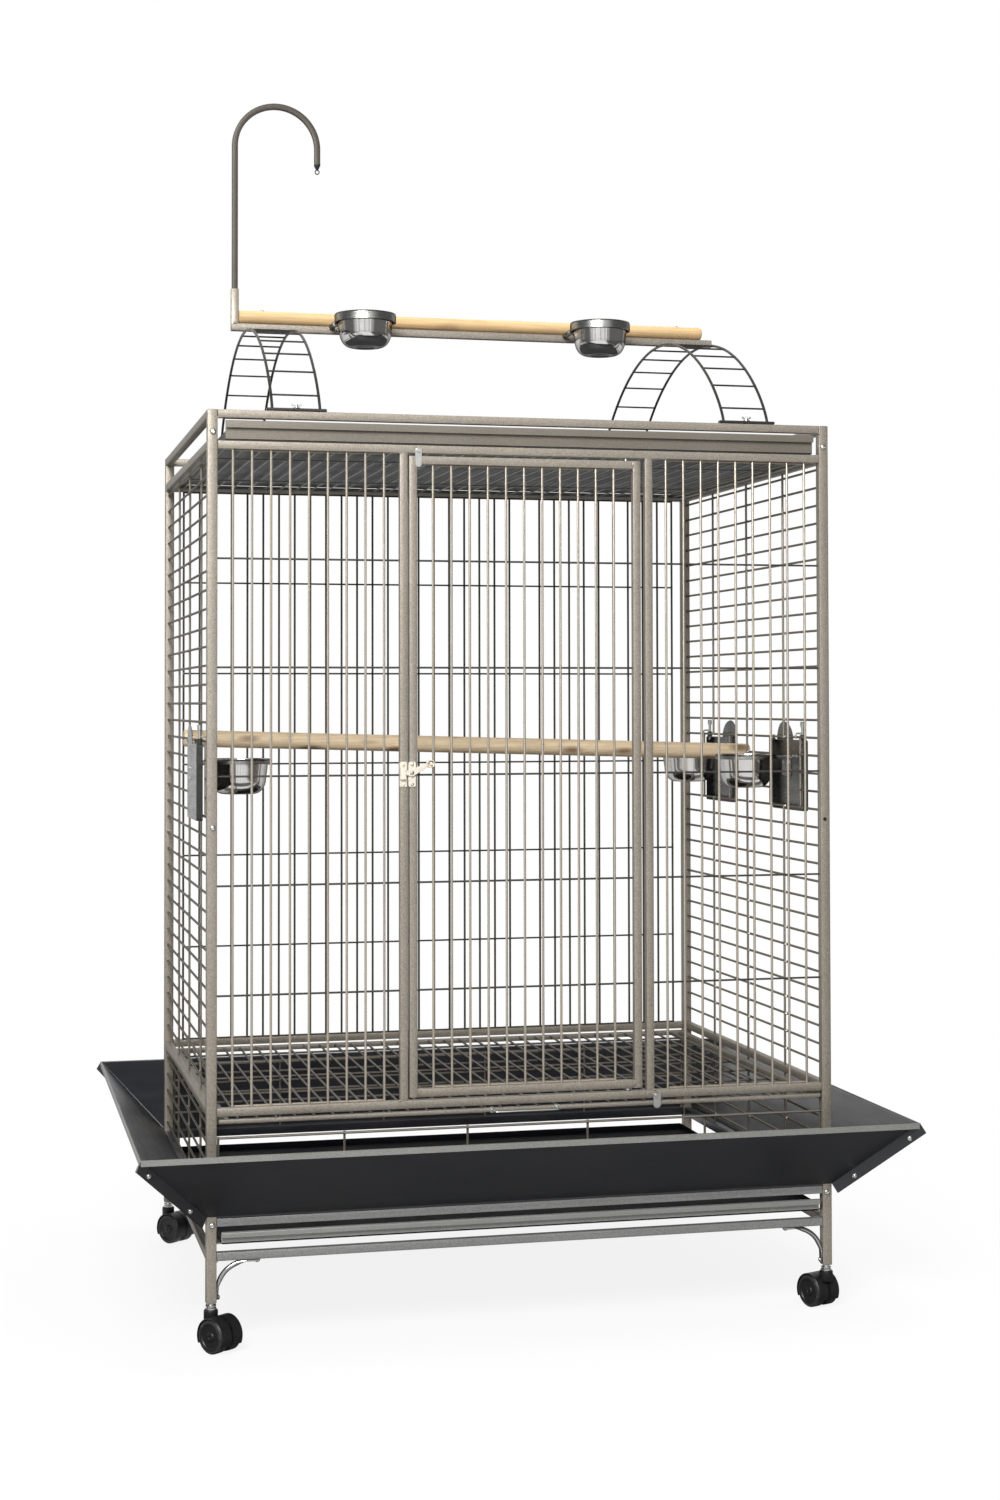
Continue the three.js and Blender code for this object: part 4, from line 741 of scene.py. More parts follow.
def side_frame(sign):
    """Posts, rails and the runners of the trays and the grate."""
    shell = Shell()
    outer, inner_y = sign * HALF_WIDTH, HALF_DEPTH - POST
    for end in (-1, 1):
        x, y = outer - sign * POST / 2, end * (HALF_DEPTH - POST / 2)
        shell.tube((x, y, POST_FOOT_Z), (x, y, POST_TOP_Z), POST)
    for top in (POST_TOP_Z, ROOF_RAIL_Z, FLOOR_RAIL_Z, STAND_RAIL_Z, LOW_RAIL_Z):
        x, z = outer - sign * RAIL / 2, top - RAIL / 2
        shell.tube((x, -inner_y - WELD, z), (x, inner_y + WELD, z), RAIL)
        for end in (-1, 1):
            shell.weld((x, end * inner_y, z - RAIL / 2), 0.8, X, 2.2)
    x = outer - sign * (POST - WELD + RUNNER_REACH) / 2
    width, reach = RUNNER_REACH - POST + WELD, HALF_DEPTH - RAIL - WELD
    for top in RUNNER_TOPS_Z:
        z = top - RUNNER_SHEET / 2
        shell.tube((x, -reach, z), (x, reach, z), width, RUNNER_SHEET, corner=0.4 * MM,
                   chamfer=0.3 * MM)
    return shell


def side_mesh(sign, openings):
    """Rows and uprights of wire that end at the feeders, and the wires beside the feeders."""
    mesh, wire = Shell(), sizes().bar_wire
    row_x, upright_x = sign * (HALF_WIDTH - ROW_INSET), sign * (HALF_WIDTH - UPRIGHT_INSET)
    end_y = HALF_DEPTH - POST + WELD
    row_count = math.ceil((MESH_TOP_Z - STAND_RAIL_Z - wire) / BAR_PITCH)
    for z in map(mesh_row_z, range(row_count)):
        if abs(z - (FLOOR_RAIL_Z - RAIL / 2)) < RAIL / 2 + wire:
            continue
        stops = [-end_y]
        for feeder in sorted(openings, key=lambda opening: opening.low_y):
            if feeder.low_z + wire < z < feeder.high_z - wire:
                stops += [feeder.low_y, feeder.high_y]
        stops.append(end_y)
        for start, end in zip(stops[::2], stops[1::2]):
            mesh.rod((row_x, start, z), (row_x, end, z), wire)
            for y in MESH_UPRIGHT_Y:
                if start < y < end:
                    mesh.weld(((row_x + upright_x) / 2, y, z), 1, X)
    low, high = FLOOR_RAIL_Z - WELD, ROOF_RAIL_LOW_Z + WELD
    for y in MESH_UPRIGHT_Y:
        spans = [(STAND_RAIL_Z - WELD, FLOOR_RAIL_LOW_Z + WELD), (low, high)]
        for feeder in openings:
            if feeder.low_y < y < feeder.high_y:
                spans[1:] = [(low, feeder.low_z + wire / 2), (feeder.high_z - wire / 2, high)]
        for start, end in spans:
            mesh.rod((upright_x, y, start), (upright_x, y, end), wire)
    for feeder in openings:
        for y in (feeder.low_y, feeder.high_y):
            mesh.rod((row_x, y, feeder.low_z), (row_x, y, feeder.high_z), wire)
    return mesh


def hinge_eyes(sign, openings):
    """Eyes on arms that carry the feeders, each with its half of the hinge pin."""
    shell = Shell()
    row_x, axis_x = sign * (HALF_WIDTH - ROW_INSET), sign * (HALF_WIDTH + HINGE_OUT)
    for feeder in openings:
        for z, inward in ((feeder.low_z, 1), (feeder.high_z, -1)):
            spot = Vector((axis_x, feeder.axis_y, z))
            eye = HINGE_EYE_HEIGHT / 2 * Z
            shell.rod(spot - eye, spot + eye, HINGE_PIN * 1.5, 12, 0.4 * MM)
            shell.rod((row_x, feeder.axis_y, z), spot, HINGE_PIN)
            shell.rod(spot, spot + inward * HINGE_PIN_REACH * Z, HINGE_PIN, 10, 0.4 * MM)
    return shell


def panel_rail(shell, top, end):
    """One rail across the front or back, given by its top face."""
    y, z = end * (HALF_DEPTH - RAIL / 2), top - RAIL / 2
    shell.tube((-RAIL_HALF_LENGTH, y, z), (RAIL_HALF_LENGTH, y, z), RAIL)


def upright_bars(shell, places, y, low, high, end=-1):
    """Bars between two rails, with the thin rods behind their ends."""
    wire, cross = sizes().bar_wire, sizes().cross_wire
    for x in places:
        shell.rod((x, y, low - WELD), (x, y, high + WELD), wire)
    back_y = y - end * CROSS_SETBACK
    for z in (low + (cross - WELD) / 2, high - (cross - WELD) / 2):
        shell.rod((places[0], back_y, z), (places[-1], back_y, z), cross)


def cross_wires(shell, beads, places, start, stop, y, end=-1):
    """The thin wires behind the bars, with a bead where each bar is welded to them."""
    back_y = y - end * CROSS_SETBACK
    for z in CROSS_Z:
        shell.rod((start, back_y, z), (stop, back_y, z), sizes().cross_wire)
        for x in places:
            beads.weld((x, (y + back_y) / 2, z), 0.8, Y)


def panel_pieces(name, shell, bars, wires, bar_coat, body="cage"):
    made(f"{name}_frame", shell, "frame", [name], body=body)
    made(f"{name}_bars", bars, bar_coat, body=body)
    made(f"{name}_cross_wires", wires, "cross", body=body)


UPRIGHT_X = 200.5 * MM
GRILLE_FIRST_X = 231 * MM
GRILLE_BARS = 9


def front_panel():
    """Rails, the two uprights beside the door, and two grilles of bars."""
    shell, bars, wires = Shell(), Shell(), Shell()
    y = -HALF_DEPTH + RAIL / 2
    panel_rail(shell, ROOF_RAIL_Z, -1)
    panel_rail(shell, FLOOR_RAIL_Z, -1)
    low, high = FLOOR_RAIL_Z, ROOF_RAIL_LOW_Z
    for side in (-1, 1):
        x = side * UPRIGHT_X
        shell.tube((x, y, low - WELD), (x, y, high + WELD), RAIL)
        for z in (low, high):
            shell.weld((x + side * RAIL / 2, y - RAIL / 2, z), 0.7, X, 1.4)
        places = [side * (GRILLE_FIRST_X + i * BAR_PITCH) for i in range(GRILLE_BARS)]
        upright_bars(bars, places, y, low, high)
        inner_x = side * (UPRIGHT_X + RAIL / 2 - WELD)
        cross_wires(wires, shell, places, inner_x, side * RAIL_HALF_LENGTH, y)
    panel_pieces("front_panel", shell, bars, wires, "lit_front_bars")


BACK_BARS = 33


def back_panel():
    """Rails and one grille of bars."""
    shell, bars, wires = Shell(), Shell(), Shell()
    y = HALF_DEPTH - RAIL / 2
    panel_rail(shell, ROOF_RAIL_Z, 1)
    panel_rail(shell, FLOOR_RAIL_Z, 1)
    places = spread(BACK_BARS, BAR_PITCH)
    upright_bars(bars, places, y, FLOOR_RAIL_Z, ROOF_RAIL_LOW_Z, 1)
    cross_wires(wires, shell, places, places[0], places[-1], y, 1)
    panel_pieces("back_panel", shell, bars, wires, "shaded_back_bars")


GUARD_REACH = 489.2 * MM
GUARD_UPRIGHTS = 6
GUARD_TOP_Z = 321 * MM
GUARD_ROWS = 4


def guard(where):
    """The short grille over the debris space, on the upper rail of the stand."""
    end = ENDS[where]
    wire = sizes().bar_wire
    y = end * (HALF_DEPTH - RAIL / 2)
    rail, shell = Shell(), Shell()
    panel_rail(rail, STAND_RAIL_Z, end)
    step = 2 * GUARD_REACH / (GUARD_UPRIGHTS - 1)
    places = [i * step - GUARD_REACH for i in range(GUARD_UPRIGHTS)]
    low, high = STAND_RAIL_Z - WELD, GUARD_TOP_Z + wire / 2
    for x in places:
        behind = 0 if x in (places[0], places[-1]) else wire / 2
        shell.rod((x, y - end * behind, low), (x, y - end * behind, high), wire)
    for row in range(GUARD_ROWS):
        z = GUARD_TOP_Z - row * BAR_PITCH
        row_y = y + end * wire / 2
        shell.rod((-GUARD_REACH, row_y, z), (GUARD_REACH, row_y, z), wire)
        for x in places:
            shell.weld((x, y, z), 0.9, Y)
    made(f"guard_{where}_rail", rail, "stand", [f"guard_{where}"])
    made(f"guard_{where}_grille", shell, "bars")


def plain_rails():
    """The front and back rails at the very top and at the stand's foot."""
    for where, end in ENDS.items():
        for name, top in (("top_rail", POST_TOP_Z), ("stand_rail", LOW_RAIL_Z)):
            shell = Shell()
            panel_rail(shell, top, end)
            for side in (-1, 1):
                shell.weld((side * RAIL_HALF_LENGTH, end * HALF_DEPTH, top - RAIL), 0.7, Y, 1.5)
            coat = "stand" if name == "stand_rail" else "frame"
            made(f"{name}_{where}_tube", shell, coat, [f"{name}_{where}"])


ROOF_BARS = 33
ROOF_WIRE = 2.8 * MM
ROOF_FRAME_WIRE = 6 * MM
ROOF_CROSS_Y = 184 * MM


def roof_grille():
    """Bars from front to back on a wire frame, under the top tray."""
    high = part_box("roof_grille")[1]
    x, y, z = (reach - ROOF_FRAME_WIRE / 2 for reach in high)
    cross_z, bar_z = z - ROOF_WIRE / 2, z + ROOF_WIRE / 2
    shell = Shell()
    for side in (-1, 1):
        shell.rod((-high.x, side * y, z), (high.x, side * y, z), ROOF_FRAME_WIRE, 12, 1 * MM)
        shell.rod((side * x, -y, z), (side * x, y, z), ROOF_FRAME_WIRE, 12)
        cross_y = side * ROOF_CROSS_Y
        shell.rod((-x, cross_y, cross_z), (x, cross_y, cross_z), ROOF_WIRE)
    for bar_x in spread(ROOF_BARS, BAR_PITCH):
        shell.rod((bar_x, -y, bar_z), (bar_x, y, bar_z), ROOF_WIRE)
        for side in (-1, 1):
            shell.bead((bar_x, side * ROOF_CROSS_Y, z), ROOF_WIRE * 1.3)
    made("roof_grille_wires", shell, "lip", ["roof_grille"], slot="wire")


DOOR_FIRST_BAR = 38.3 * MM
DOOR_BARS = 11
DOOR_GAP = 4 * MM
FREE_EDGE = 1 * MM  # how far the free tube stands out, to close the gap seen at a slant
PIVOT_PIN = 6 * MM
PIVOT_REACH = 8 * MM
PIVOT_WASHER = ((0, 0.4), (5.4, 0.4), (6, 0.8), (6, 4), (0, 4))  # radii and heights in mm


def door():
    """A tube frame with bars, on two pivot pins."""
    low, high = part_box("door")
    pivot_x = joint("door_hinge")["pos_m"][0]
    y = -HALF_DEPTH + RAIL / 2
    foot, top = FLOOR_RAIL_Z + DOOR_GAP, ROOF_RAIL_LOW_Z - DOOR_GAP
    shell, bars, wires, pins = Shell(), Shell(), Shell(), Shell()
    for x in (low.x - FREE_EDGE + RAIL / 2, high.x - RAIL / 2):
        shell.tube((x, y, foot), (x, y, top), RAIL)
    for z in (foot + RAIL / 2, top - RAIL / 2):
        shell.tube((low.x - FREE_EDGE + RAIL - WELD, y, z), (high.x - RAIL + WELD, y, z), RAIL)
        for x in (low.x + RAIL, high.x - RAIL):
            shell.weld((x, y - RAIL / 2, z), 0.6, Z, 2.2)
    places = [low.x + DOOR_FIRST_BAR + i * BAR_PITCH for i in range(DOOR_BARS)]
    upright_bars(bars, places, y, foot + RAIL, top - RAIL)
    cross_wires(wires, shell, places, low.x + RAIL - WELD, high.x - RAIL + WELD, y)
    pins.rod((pivot_x, y, top - WELD), (pivot_x, y, ROOF_RAIL_LOW_Z + PIVOT_REACH), PIVOT_PIN, 20)
    pins.rod((pivot_x, y, FLOOR_RAIL_Z - PIVOT_REACH), (pivot_x, y, foot + WELD), PIVOT_PIN, 20)
    pins.turned(in_mm(PIVOT_WASHER), (pivot_x, y, FLOOR_RAIL_Z), Z, 28)
    panel_pieces("door", shell, bars, wires, "lit_front_bars", "door")
    made("door_pivots", pins, "zinc", body="door")


# Grate, trays and seed guard


GRATE_BAR = 9 * MM
GRATE_FRONT_BAR = 6.6 * MM
GRATE_BAR_CORNER = 1.2 * MM
GRATE_WIRE = 3.8 * MM
GRATE_CROSS_PITCH = 100 * MM
GRATE_CROSS_WIRES = 7
GRATE_WIRES = 32
HANDLE_X = (-61 * MM, 44 * MM)
HANDLE_WIRE = 4 * MM
HANDLE_BEND = 5 * MM
HANDLE_NUT = (9 * MM, 4 * MM)  # width and height


def grate():
    """A rim of square bars with crossing wires."""
    low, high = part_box("grate")
    rim, shell = Shell(), Shell()
    foot, half_bar = low.z, GRATE_BAR / 2
    z, inner_y = foot + half_bar, high.y - GRATE_BAR
    front_z = foot + GRATE_FRONT_BAR / 2
    for y, height, bar_z in ((low.y + half_bar, GRATE_FRONT_BAR, front_z),
                             (high.y - half_bar, GRATE_BAR, z)):
        rim.tube((low.x, y, bar_z), (high.x, y, bar_z), GRATE_BAR, height,
                 corner=GRATE_BAR_CORNER)
    for x in (low.x + half_bar, high.x - half_bar):
        rim.tube((x, low.y + GRATE_BAR - WELD, z), (x, inner_y + WELD, z), GRATE_BAR,
                 corner=GRATE_BAR_CORNER)
    long_z = foot + (GRATE_BAR + GRATE_WIRE) / 2
    cross_z = foot + (GRATE_BAR - GRATE_WIRE) / 2
    front, back = low.y + WELD, high.y - GRATE_BAR + WELD
    rows = spread(GRATE_CROSS_WIRES, GRATE_CROSS_PITCH)
    for x in spread(GRATE_WIRES, BAR_PITCH):
        shell.rod((x, front, long_z), (x, back, long_z), GRATE_WIRE)
        for y in rows:
            shell.bead((x, y, z), GRATE_WIRE * 1.25)
    reach = high.x - GRATE_BAR + WELD
    for y in rows:
        shell.rod((-reach, y, cross_z), (reach, y, cross_z), GRATE_WIRE)
    made("grate_rim", rim, "frame", ["grate"], body="grate", slot="wire")
    # The wires wear a darker copy of the rim's coat, as painted shade.
    made("grate_wires", shell, "grate", body="grate")


def grate_handle():
    """A bent wire that is held by two nuts under the door."""
    low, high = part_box("grate_handle")
    front_y = low.y + HANDLE_WIRE / 2
    back_y, z = high.y, (low.z + high.z) / 2
    left, right = HANDLE_X
    bends = arc((left + HANDLE_BEND, front_y + HANDLE_BEND), HANDLE_BEND, 180, 270, 6)
    bends += arc((right - HANDLE_BEND, front_y + HANDLE_BEND), HANDLE_BEND, 270, 360, 6)
    path = [(left, back_y, z), *((x, y, z) for x, y in bends), (right, back_y, z)]
    shell = Shell()
    shell.sweep(path, round_section(HANDLE_WIRE, 12), Z)
    for x in HANDLE_X:
        hex_nut(shell, (x, -HALF_DEPTH - FIT_GAP, z), -Y, *HANDLE_NUT)
    made("grate_pull_handle", shell, "zinc", ["grate_handle"], body="grate")


SHEET = 1.2 * MM
FOLD = 1.8 * MM
TRAY_LIP_REACH = 7 * MM
# The front stops this far above the pan's bottom, so that the near-black pan shows below it as a
# line of painted shade.
TRAY_FRONT_RISE = 2.4 * MM
# Heights of each tray's walls and lip, and the coats of its pan and its front; the pans'
# near-black coats are painted shade
TRAYS = {"top_tray": (14 * MM, 11.3 * MM, "shaded_roof_pan", "shaded_tray_front"),
         "debris_tray": (11 * MM, 8 * MM, "tray", "lip")}


def tray(name, wall, lip, coat, front_coat):
    """A folded tray with low walls, and a raised front whose lip turns out and down."""
    low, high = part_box(name)
    half_sheet = SHEET / 2
    front_y, back_y = low.y + TRAY_LIP_REACH, high.y
    pan, front = Shell(), Shell()
    left, right, foot = low.x + half_sheet, high.x - half_sheet, low.z + half_sheet
    outline = folded([(left, low.z + wall), (left, foot), (right, foot), (right, low.z + wall)],
                     SHEET, FOLD)
    pan.skin([[(x, y, z) for x, z in outline] for y in (front_y + half_sheet, back_y)])
    middle_z = low.z + wall / 2
    for y in (front_y + 3 * half_sheet, back_y - half_sheet):
        pan.tube((low.x + SHEET, y, middle_z), (high.x - SHEET, y, middle_z), SHEET, wall,
                 corner=0.3 * MM, chamfer=0.2 * MM)
    top, rise_y, lip_y = high.z - half_sheet, front_y + half_sheet, low.y + half_sheet
    profile = folded([(rise_y, low.z + TRAY_FRONT_RISE), (rise_y, top), (lip_y, top),
                      (lip_y, high.z - lip)], SHEET, FOLD, 6)
    front.skin([[(x, y, z) for y, z in profile] for x in (low.x, high.x)])
    made(f"{name}_pan", pan, coat, [name], body=name)
    made(f"{name}_front", front, front_coat, body=name)


APRON_FOOT_Z = 203 * MM
APRON_RUN = 109 * MM
APRON_RISE = 112 * MM
APRON_LIP = 9.5 * MM
APRON_FLANGE = 18 * MM
# Width of the rod that paints a highlight along each corner seam
APRON_SEAM_HIGHLIGHT = 1.6 * MM
APRON_TURNS = {"front": 0, "right": 90, "back": 180, "left": 270}
DIAGONAL = math.sqrt(2)

# A flange runs square to the edge where two aprons meet; its run and drop for each metre
APRON_EDGE = math.hypot(APRON_RUN * DIAGONAL, APRON_RISE)
FLANGE_RUN = APRON_RISE / APRON_EDGE / DIAGONAL
FLANGE_DROP = APRON_RUN * DIAGONAL / APRON_EDGE


def apron(where):
    """One sloping sheet of the seed guard, with a lip folded down and bolted end flanges."""
    lengthwise = where in ("front", "back")
    half = HALF_WIDTH if lengthwise else HALF_DEPTH
    wall = HALF_DEPTH if lengthwise else HALF_WIDTH
    turn = Matrix.Rotation(math.radians(APRON_TURNS[where]), 4, "Z")
    matrix = turn @ Matrix.Translation((0, -wall, APRON_FOOT_Z))
    slope = math.hypot(APRON_RUN, APRON_RISE)
    inner_run, inner_rise = SHEET * APRON_RISE / slope, SHEET * APRON_RUN / slope
    foot = (FIT_GAP + inner_run / 2, inner_rise / 2)
    top_z = (APRON_RUN - inner_run) * APRON_RISE / APRON_RUN + inner_rise
    crest = (APRON_RUN - SHEET / 2, top_z - SHEET / 2)
    lip_end = (crest[0], top_z - APRON_LIP)
    sheet, lip = Shell(matrix), Shell(matrix)
    sheet.skin([apron_end(folded([foot, crest, lip_end], SHEET, FOLD, 6), half, side)
                for side in (-1, 1)])
    behind = -RAIL - FIT_GAP - SHEET / 2
    over = STAND_RAIL_Z - APRON_FOOT_Z + FIT_GAP + SHEET / 2
    hook = folded([(behind, STAND_RAIL_Z - RAIL - APRON_FOOT_Z), (behind, over),
                   (foot[0], over), foot], SHEET, FOLD / 2)
    reach = half - POST - 1 * MM
    sheet.skin([[(x, -run, height) for run, height in hook] for x in (-reach, reach)])
    flange_run, flange_drop = APRON_FLANGE * FLANGE_RUN, APRON_FLANGE * FLANGE_DROP
    flange = [foot, crest, (crest[0] + flange_run, crest[1] - flange_drop),
              (foot[0] + flange_run, foot[1] - flange_drop)]
    for side in (-1, 1):
        outer = apron_end(flange, half, side)
        inner = [point - side * SHEET * DIAGONAL * X for point in outer]
        sheet.skin([outer, inner])
    # A light skin over the folded lip and a thin rod along each corner seam, in the lip coat, are
    # a painted highlight where light catches the fold and the seam's edge.
    bead = folded([crest, lip_end], SHEET + 0.3 * MM, FOLD)
    lip.skin([apron_end(bead, half, side) for side in (-1, 1)])
    low_end, top_end = apron_end([(foot[0], foot[1] + SHEET), crest], half, 1)
    lip.rod(low_end, top_end, APRON_SEAM_HIGHLIGHT, 8)
    made(f"apron_{where}_sheet", sheet, "sheet", [f"apron_{where}"])
    made(f"apron_{where}_lip", lip, "lip")


def apron_end(section, half, side):
    """A section of runs and heights in the plane where two aprons meet."""
    gap = FIT_GAP / 2 * DIAGONAL
    return [Vector((side * (half + run - gap), -run, height)) for run, height in section]


# Fasteners


def button_bolt(shell, place, axis, head, height=0.32):
    """A low domed bolt head that stands on its place, with a shallow socket."""
    axis = Vector(axis)
    radius, rise = head / 2, head * height
    profile = [(radius, 0), (radius, rise * 0.25), (radius * 0.88, rise * 0.66),
               (radius * 0.6, rise * 0.94), (radius * 0.36, rise), (radius * 0.33, rise * 0.6),
               (0, rise * 0.55)]
    shell.turned([(0, 0), *profile], place, axis, 20)


def hex_nut(shell, place, axis, width, height):
    """A hexagon nut with broken corners, standing on its place along its axis."""
    radius = width / 2 / math.cos(math.pi / 6)
    edge = height * 0.14
    profile = [(0, 0), (radius * 0.93, 0), (radius, edge), (radius, height - edge),
               (radius * 0.93, height), (0, height)]
    shell.turned(profile, place, axis, 6)


def washer(shell, place, axis, width, height):
    edge = 0.3 * MM
    radius = width / 2
    profile = [(0, 0), (radius - edge, 0), (radius, edge), (radius, height - edge),
               (radius - edge, height), (0, height)]
    shell.turned(profile, place, axis, 24)


def wing_nut(shell, place, span):
    """A wing nut on a short stud, with its wings along X."""
    x, y, z = place
    hub = span * 0.2
    profile = [(0, 0), (hub, 0), (hub * 0.8, span * 0.3), (0, span * 0.32)]
    shell.turned(profile, place, Z, 20)
    shell.rod((x, y, z), (x, y, z + span * 0.42), span * 0.2, 12, 0.4 * MM)
    for side in (-1, 1):
        wing = [(hub * 0.4, 0.08 * span), (span * 0.4, 0.14 * span), (span * 0.54, 0.26 * span),
                (span * 0.56, 0.4 * span), (span * 0.42, 0.44 * span), (span * 0.24, 0.26 * span),
                (hub * 0.4, 0.28 * span)]
        thick = span * 0.1
        shell.plate(wing, (x, y + side * thick / 2, z), side * X, Z, thick, 0.2 * MM)


POST_BOLTS_Z = (1406 * MM, 796 * MM, 189.5 * MM)
BOLT_X = HALF_WIDTH - POST / 2 - 1 * MM
BARE_HOLE = ("right", POST_BOLTS_Z[1])
# A thin black disc in the bare hole is painted shade inside it.
HOLE_SHADE_DISC = ((0, 0), (3.1, 0), (3.1, 0.15), (0, 0.15))  # radii and heights in mm


def post_bolts():
    """Bolt heads on the posts, front and back; one hole is left bare, and a thin black disc in it
    is painted shade.
    """
    shell, hole_shades = Shell(), Shell()
    for side, sign in SIDES.items():
        for z in POST_BOLTS_Z:
            for end in (-1, 1):
                place = (sign * BOLT_X, end * HALF_DEPTH, z)
                if end < 0 and (side, z) == BARE_HOLE:
                    hole_shades.turned(in_mm(HOLE_SHADE_DISC), place, -Y, 24)
                    continue
                button_bolt(shell, place, end * Y, sizes().bolt_head)
    made("post_bolts", shell, "zinc")
    made("post_hole_shade_disc", hole_shades, "plastic", slot="frame_powder_coat")


APRON_BOLT_SHARES = (0.22, 0.84)  # of the way up the edge
FLANGE_BOLT_SHARE = 0.55  # of the way out on the flange
APRON_BOLT = 8 * MM
APRON_BOLT_GAP = 0.2 * MM
APRON_WASHER = (9 * MM, 0.8 * MM)  # width and height
APRON_NUT = (7 * MM, 3 * MM)


def apron_bolts():
    """Bolts and nuts through the pairs of flanges at the four corners of the seed guard."""
    shell = Shell()
    out = APRON_FLANGE * FLANGE_BOLT_SHARE
    for side in (-1, 1):
        for end in (-1, 1):
            normal = Vector((side, -end, 0)).normalized()
            for share in APRON_BOLT_SHARES:
                run = APRON_RUN * share + out * FLANGE_RUN
                z = APRON_FOOT_Z + APRON_RISE * share - out * FLANGE_DROP
                middle = Vector((side * (HALF_WIDTH + run), end * (HALF_DEPTH + run), z))
                for facing in (-1, 1):
                    face = middle + facing * (SHEET + APRON_BOLT_GAP) * normal
                    washer(shell, face, facing * normal, *APRON_WASHER)
                seat = (SHEET + APRON_BOLT_GAP + APRON_WASHER[1]) * normal
                button_bolt(shell, middle - seat, -normal, APRON_BOLT)
                hex_nut(shell, middle + seat, normal, *APRON_NUT)
    made("apron_bolts", shell, "zinc")


# Braces


BRACE_RUN = 67 * MM
BRACE_ROD = 8 * MM
BRACE_INSET = 2 * MM  # from the end of a tab to the end of the rod
BRACE_TAB = 20 * MM
BRACE_TAB_WIDTH = 12 * MM
BRACE_TAB_SHEET = 3 * MM
BRACE_BOLT = 7 * MM
BRACE_BOLT_INSET = BRACE_TAB * 0.22
BRACE_WIDER, BRACE_THINNER = 0.45, 0.6  # by which the rod's ends are hammered flat
BRACE_STEPS = 16


def brace(corner):
    """A bent rod with flattened, bolted ends between a post and the low rail."""
    low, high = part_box(f"brace_{corner}")
    side = 1 if high.x > 0 else -1
    y = (low.y + high.y) / 2
    inner_x = side * (HALF_WIDTH - POST)
    shell, bolts = Shell(), Shell()
    half_tab = FIT_GAP + BRACE_TAB_SHEET / 2
    start = Vector((inner_x - side * half_tab, y, low.z + BRACE_INSET))
    end = Vector((inner_x - side * (BRACE_RUN - BRACE_INSET), y, high.z - half_tab + FIT_GAP))
    low_knee = Vector((start.x, y, low.z + BRACE_TAB))
    high_knee = Vector((end.x + side * BRACE_TAB, y, end.z))
    pull = Vector((inner_x - side * BRACE_ROD, y, high.z - BRACE_ROD))
    path = [start, start.lerp(low_knee, 0.5), *curve(low_knee, pull, high_knee, BRACE_STEPS),
            high_knee.lerp(end, 0.5), end]
    rings = []
    for i, ring in enumerate(swept_rings(path, round_section(BRACE_ROD, 14), Y)):
        flat = max(0, 1 - max(min(i, len(path) - 1 - i) - 1, 0) / 4)
        wide, thin = 1 + BRACE_WIDER * flat, 1 - BRACE_THINNER * flat
        outs = [point - path[i] for point in ring]
        rings.append([path[i] + out.y * wide * Y + (out - out.y * Y) * thin for out in outs])
    shell.skin(rings)
    tab = rounded_rectangle(BRACE_TAB, BRACE_TAB_WIDTH, 4 * MM)
    low_tab = (inner_x - side * FIT_GAP, y, low.z + BRACE_TAB / 2)
    high_tab = (inner_x - side * (BRACE_RUN - BRACE_TAB / 2), y, high.z)
    for middle, along, across in ((low_tab, Z, -side * Y), (high_tab, X, -Y)):
        shell.plate(tab, middle, along, across, BRACE_TAB_SHEET, 0.5 * MM)
    low_bolt = (inner_x - side * (FIT_GAP + BRACE_TAB_SHEET), y, low.z + BRACE_BOLT_INSET)
    high_bolt = (inner_x - side * (BRACE_RUN - BRACE_BOLT_INSET), y, high.z - BRACE_TAB_SHEET)
    button_bolt(bolts, low_bolt, -side * X, BRACE_BOLT)
    button_bolt(bolts, high_bolt, -Z, BRACE_BOLT)
    made(f"brace_{corner}_rod", shell, "brace", [f"brace_{corner}"])
    made(f"brace_{corner}_bolts", bolts, "zinc")


# Casters


WHEEL_RADIUS = 26 * MM
WHEEL_WIDTH = 18.2 * MM
PAIR_WIDTH = 44 * MM
HOOD_RADIUS = 28.4 * MM
HOOD_WALL = 1.4 * MM
HOOD_EDGE = 1.2 * MM
HOOD_WRAP = math.radians(26)  # how far the hood goes on below the axle
HOOD_STEPS = 32
AXLE_BOSS = 18 * MM
AXLE = 7.6 * MM

# Turned forms by radii and heights in mm. The hub's are measured from the rim and the outer
# face, and its cap's from the axle and the outer face.
STEM_BOSS = ((0, 44), (10.4, 44), (11, 45), (11, 59.6), (10, 61), (0, 61))
STEM = ((0, 60.5), (7.6, 60.5), (8.5, 61.6), (8.5, 64), (7, 65), (7, 66), (8.2, 66.5), (8.2, 68),
        (5.5, 68.4), (5.5, 103), (0, 103))
HUB_RIM = ((0, -1.2), (-1.2, -0.4), (-2.6, -0.6), (-4, -2.2))
HUB_CAP = ((8, -2.6), (7.2, -1), (6.2, -0.4), (2.4, -0.2), (1.6, -1.2), (0, -1.2))
TREAD_HEIGHT = 5 * MM
TREAD_CROWN = 0.15 * MM


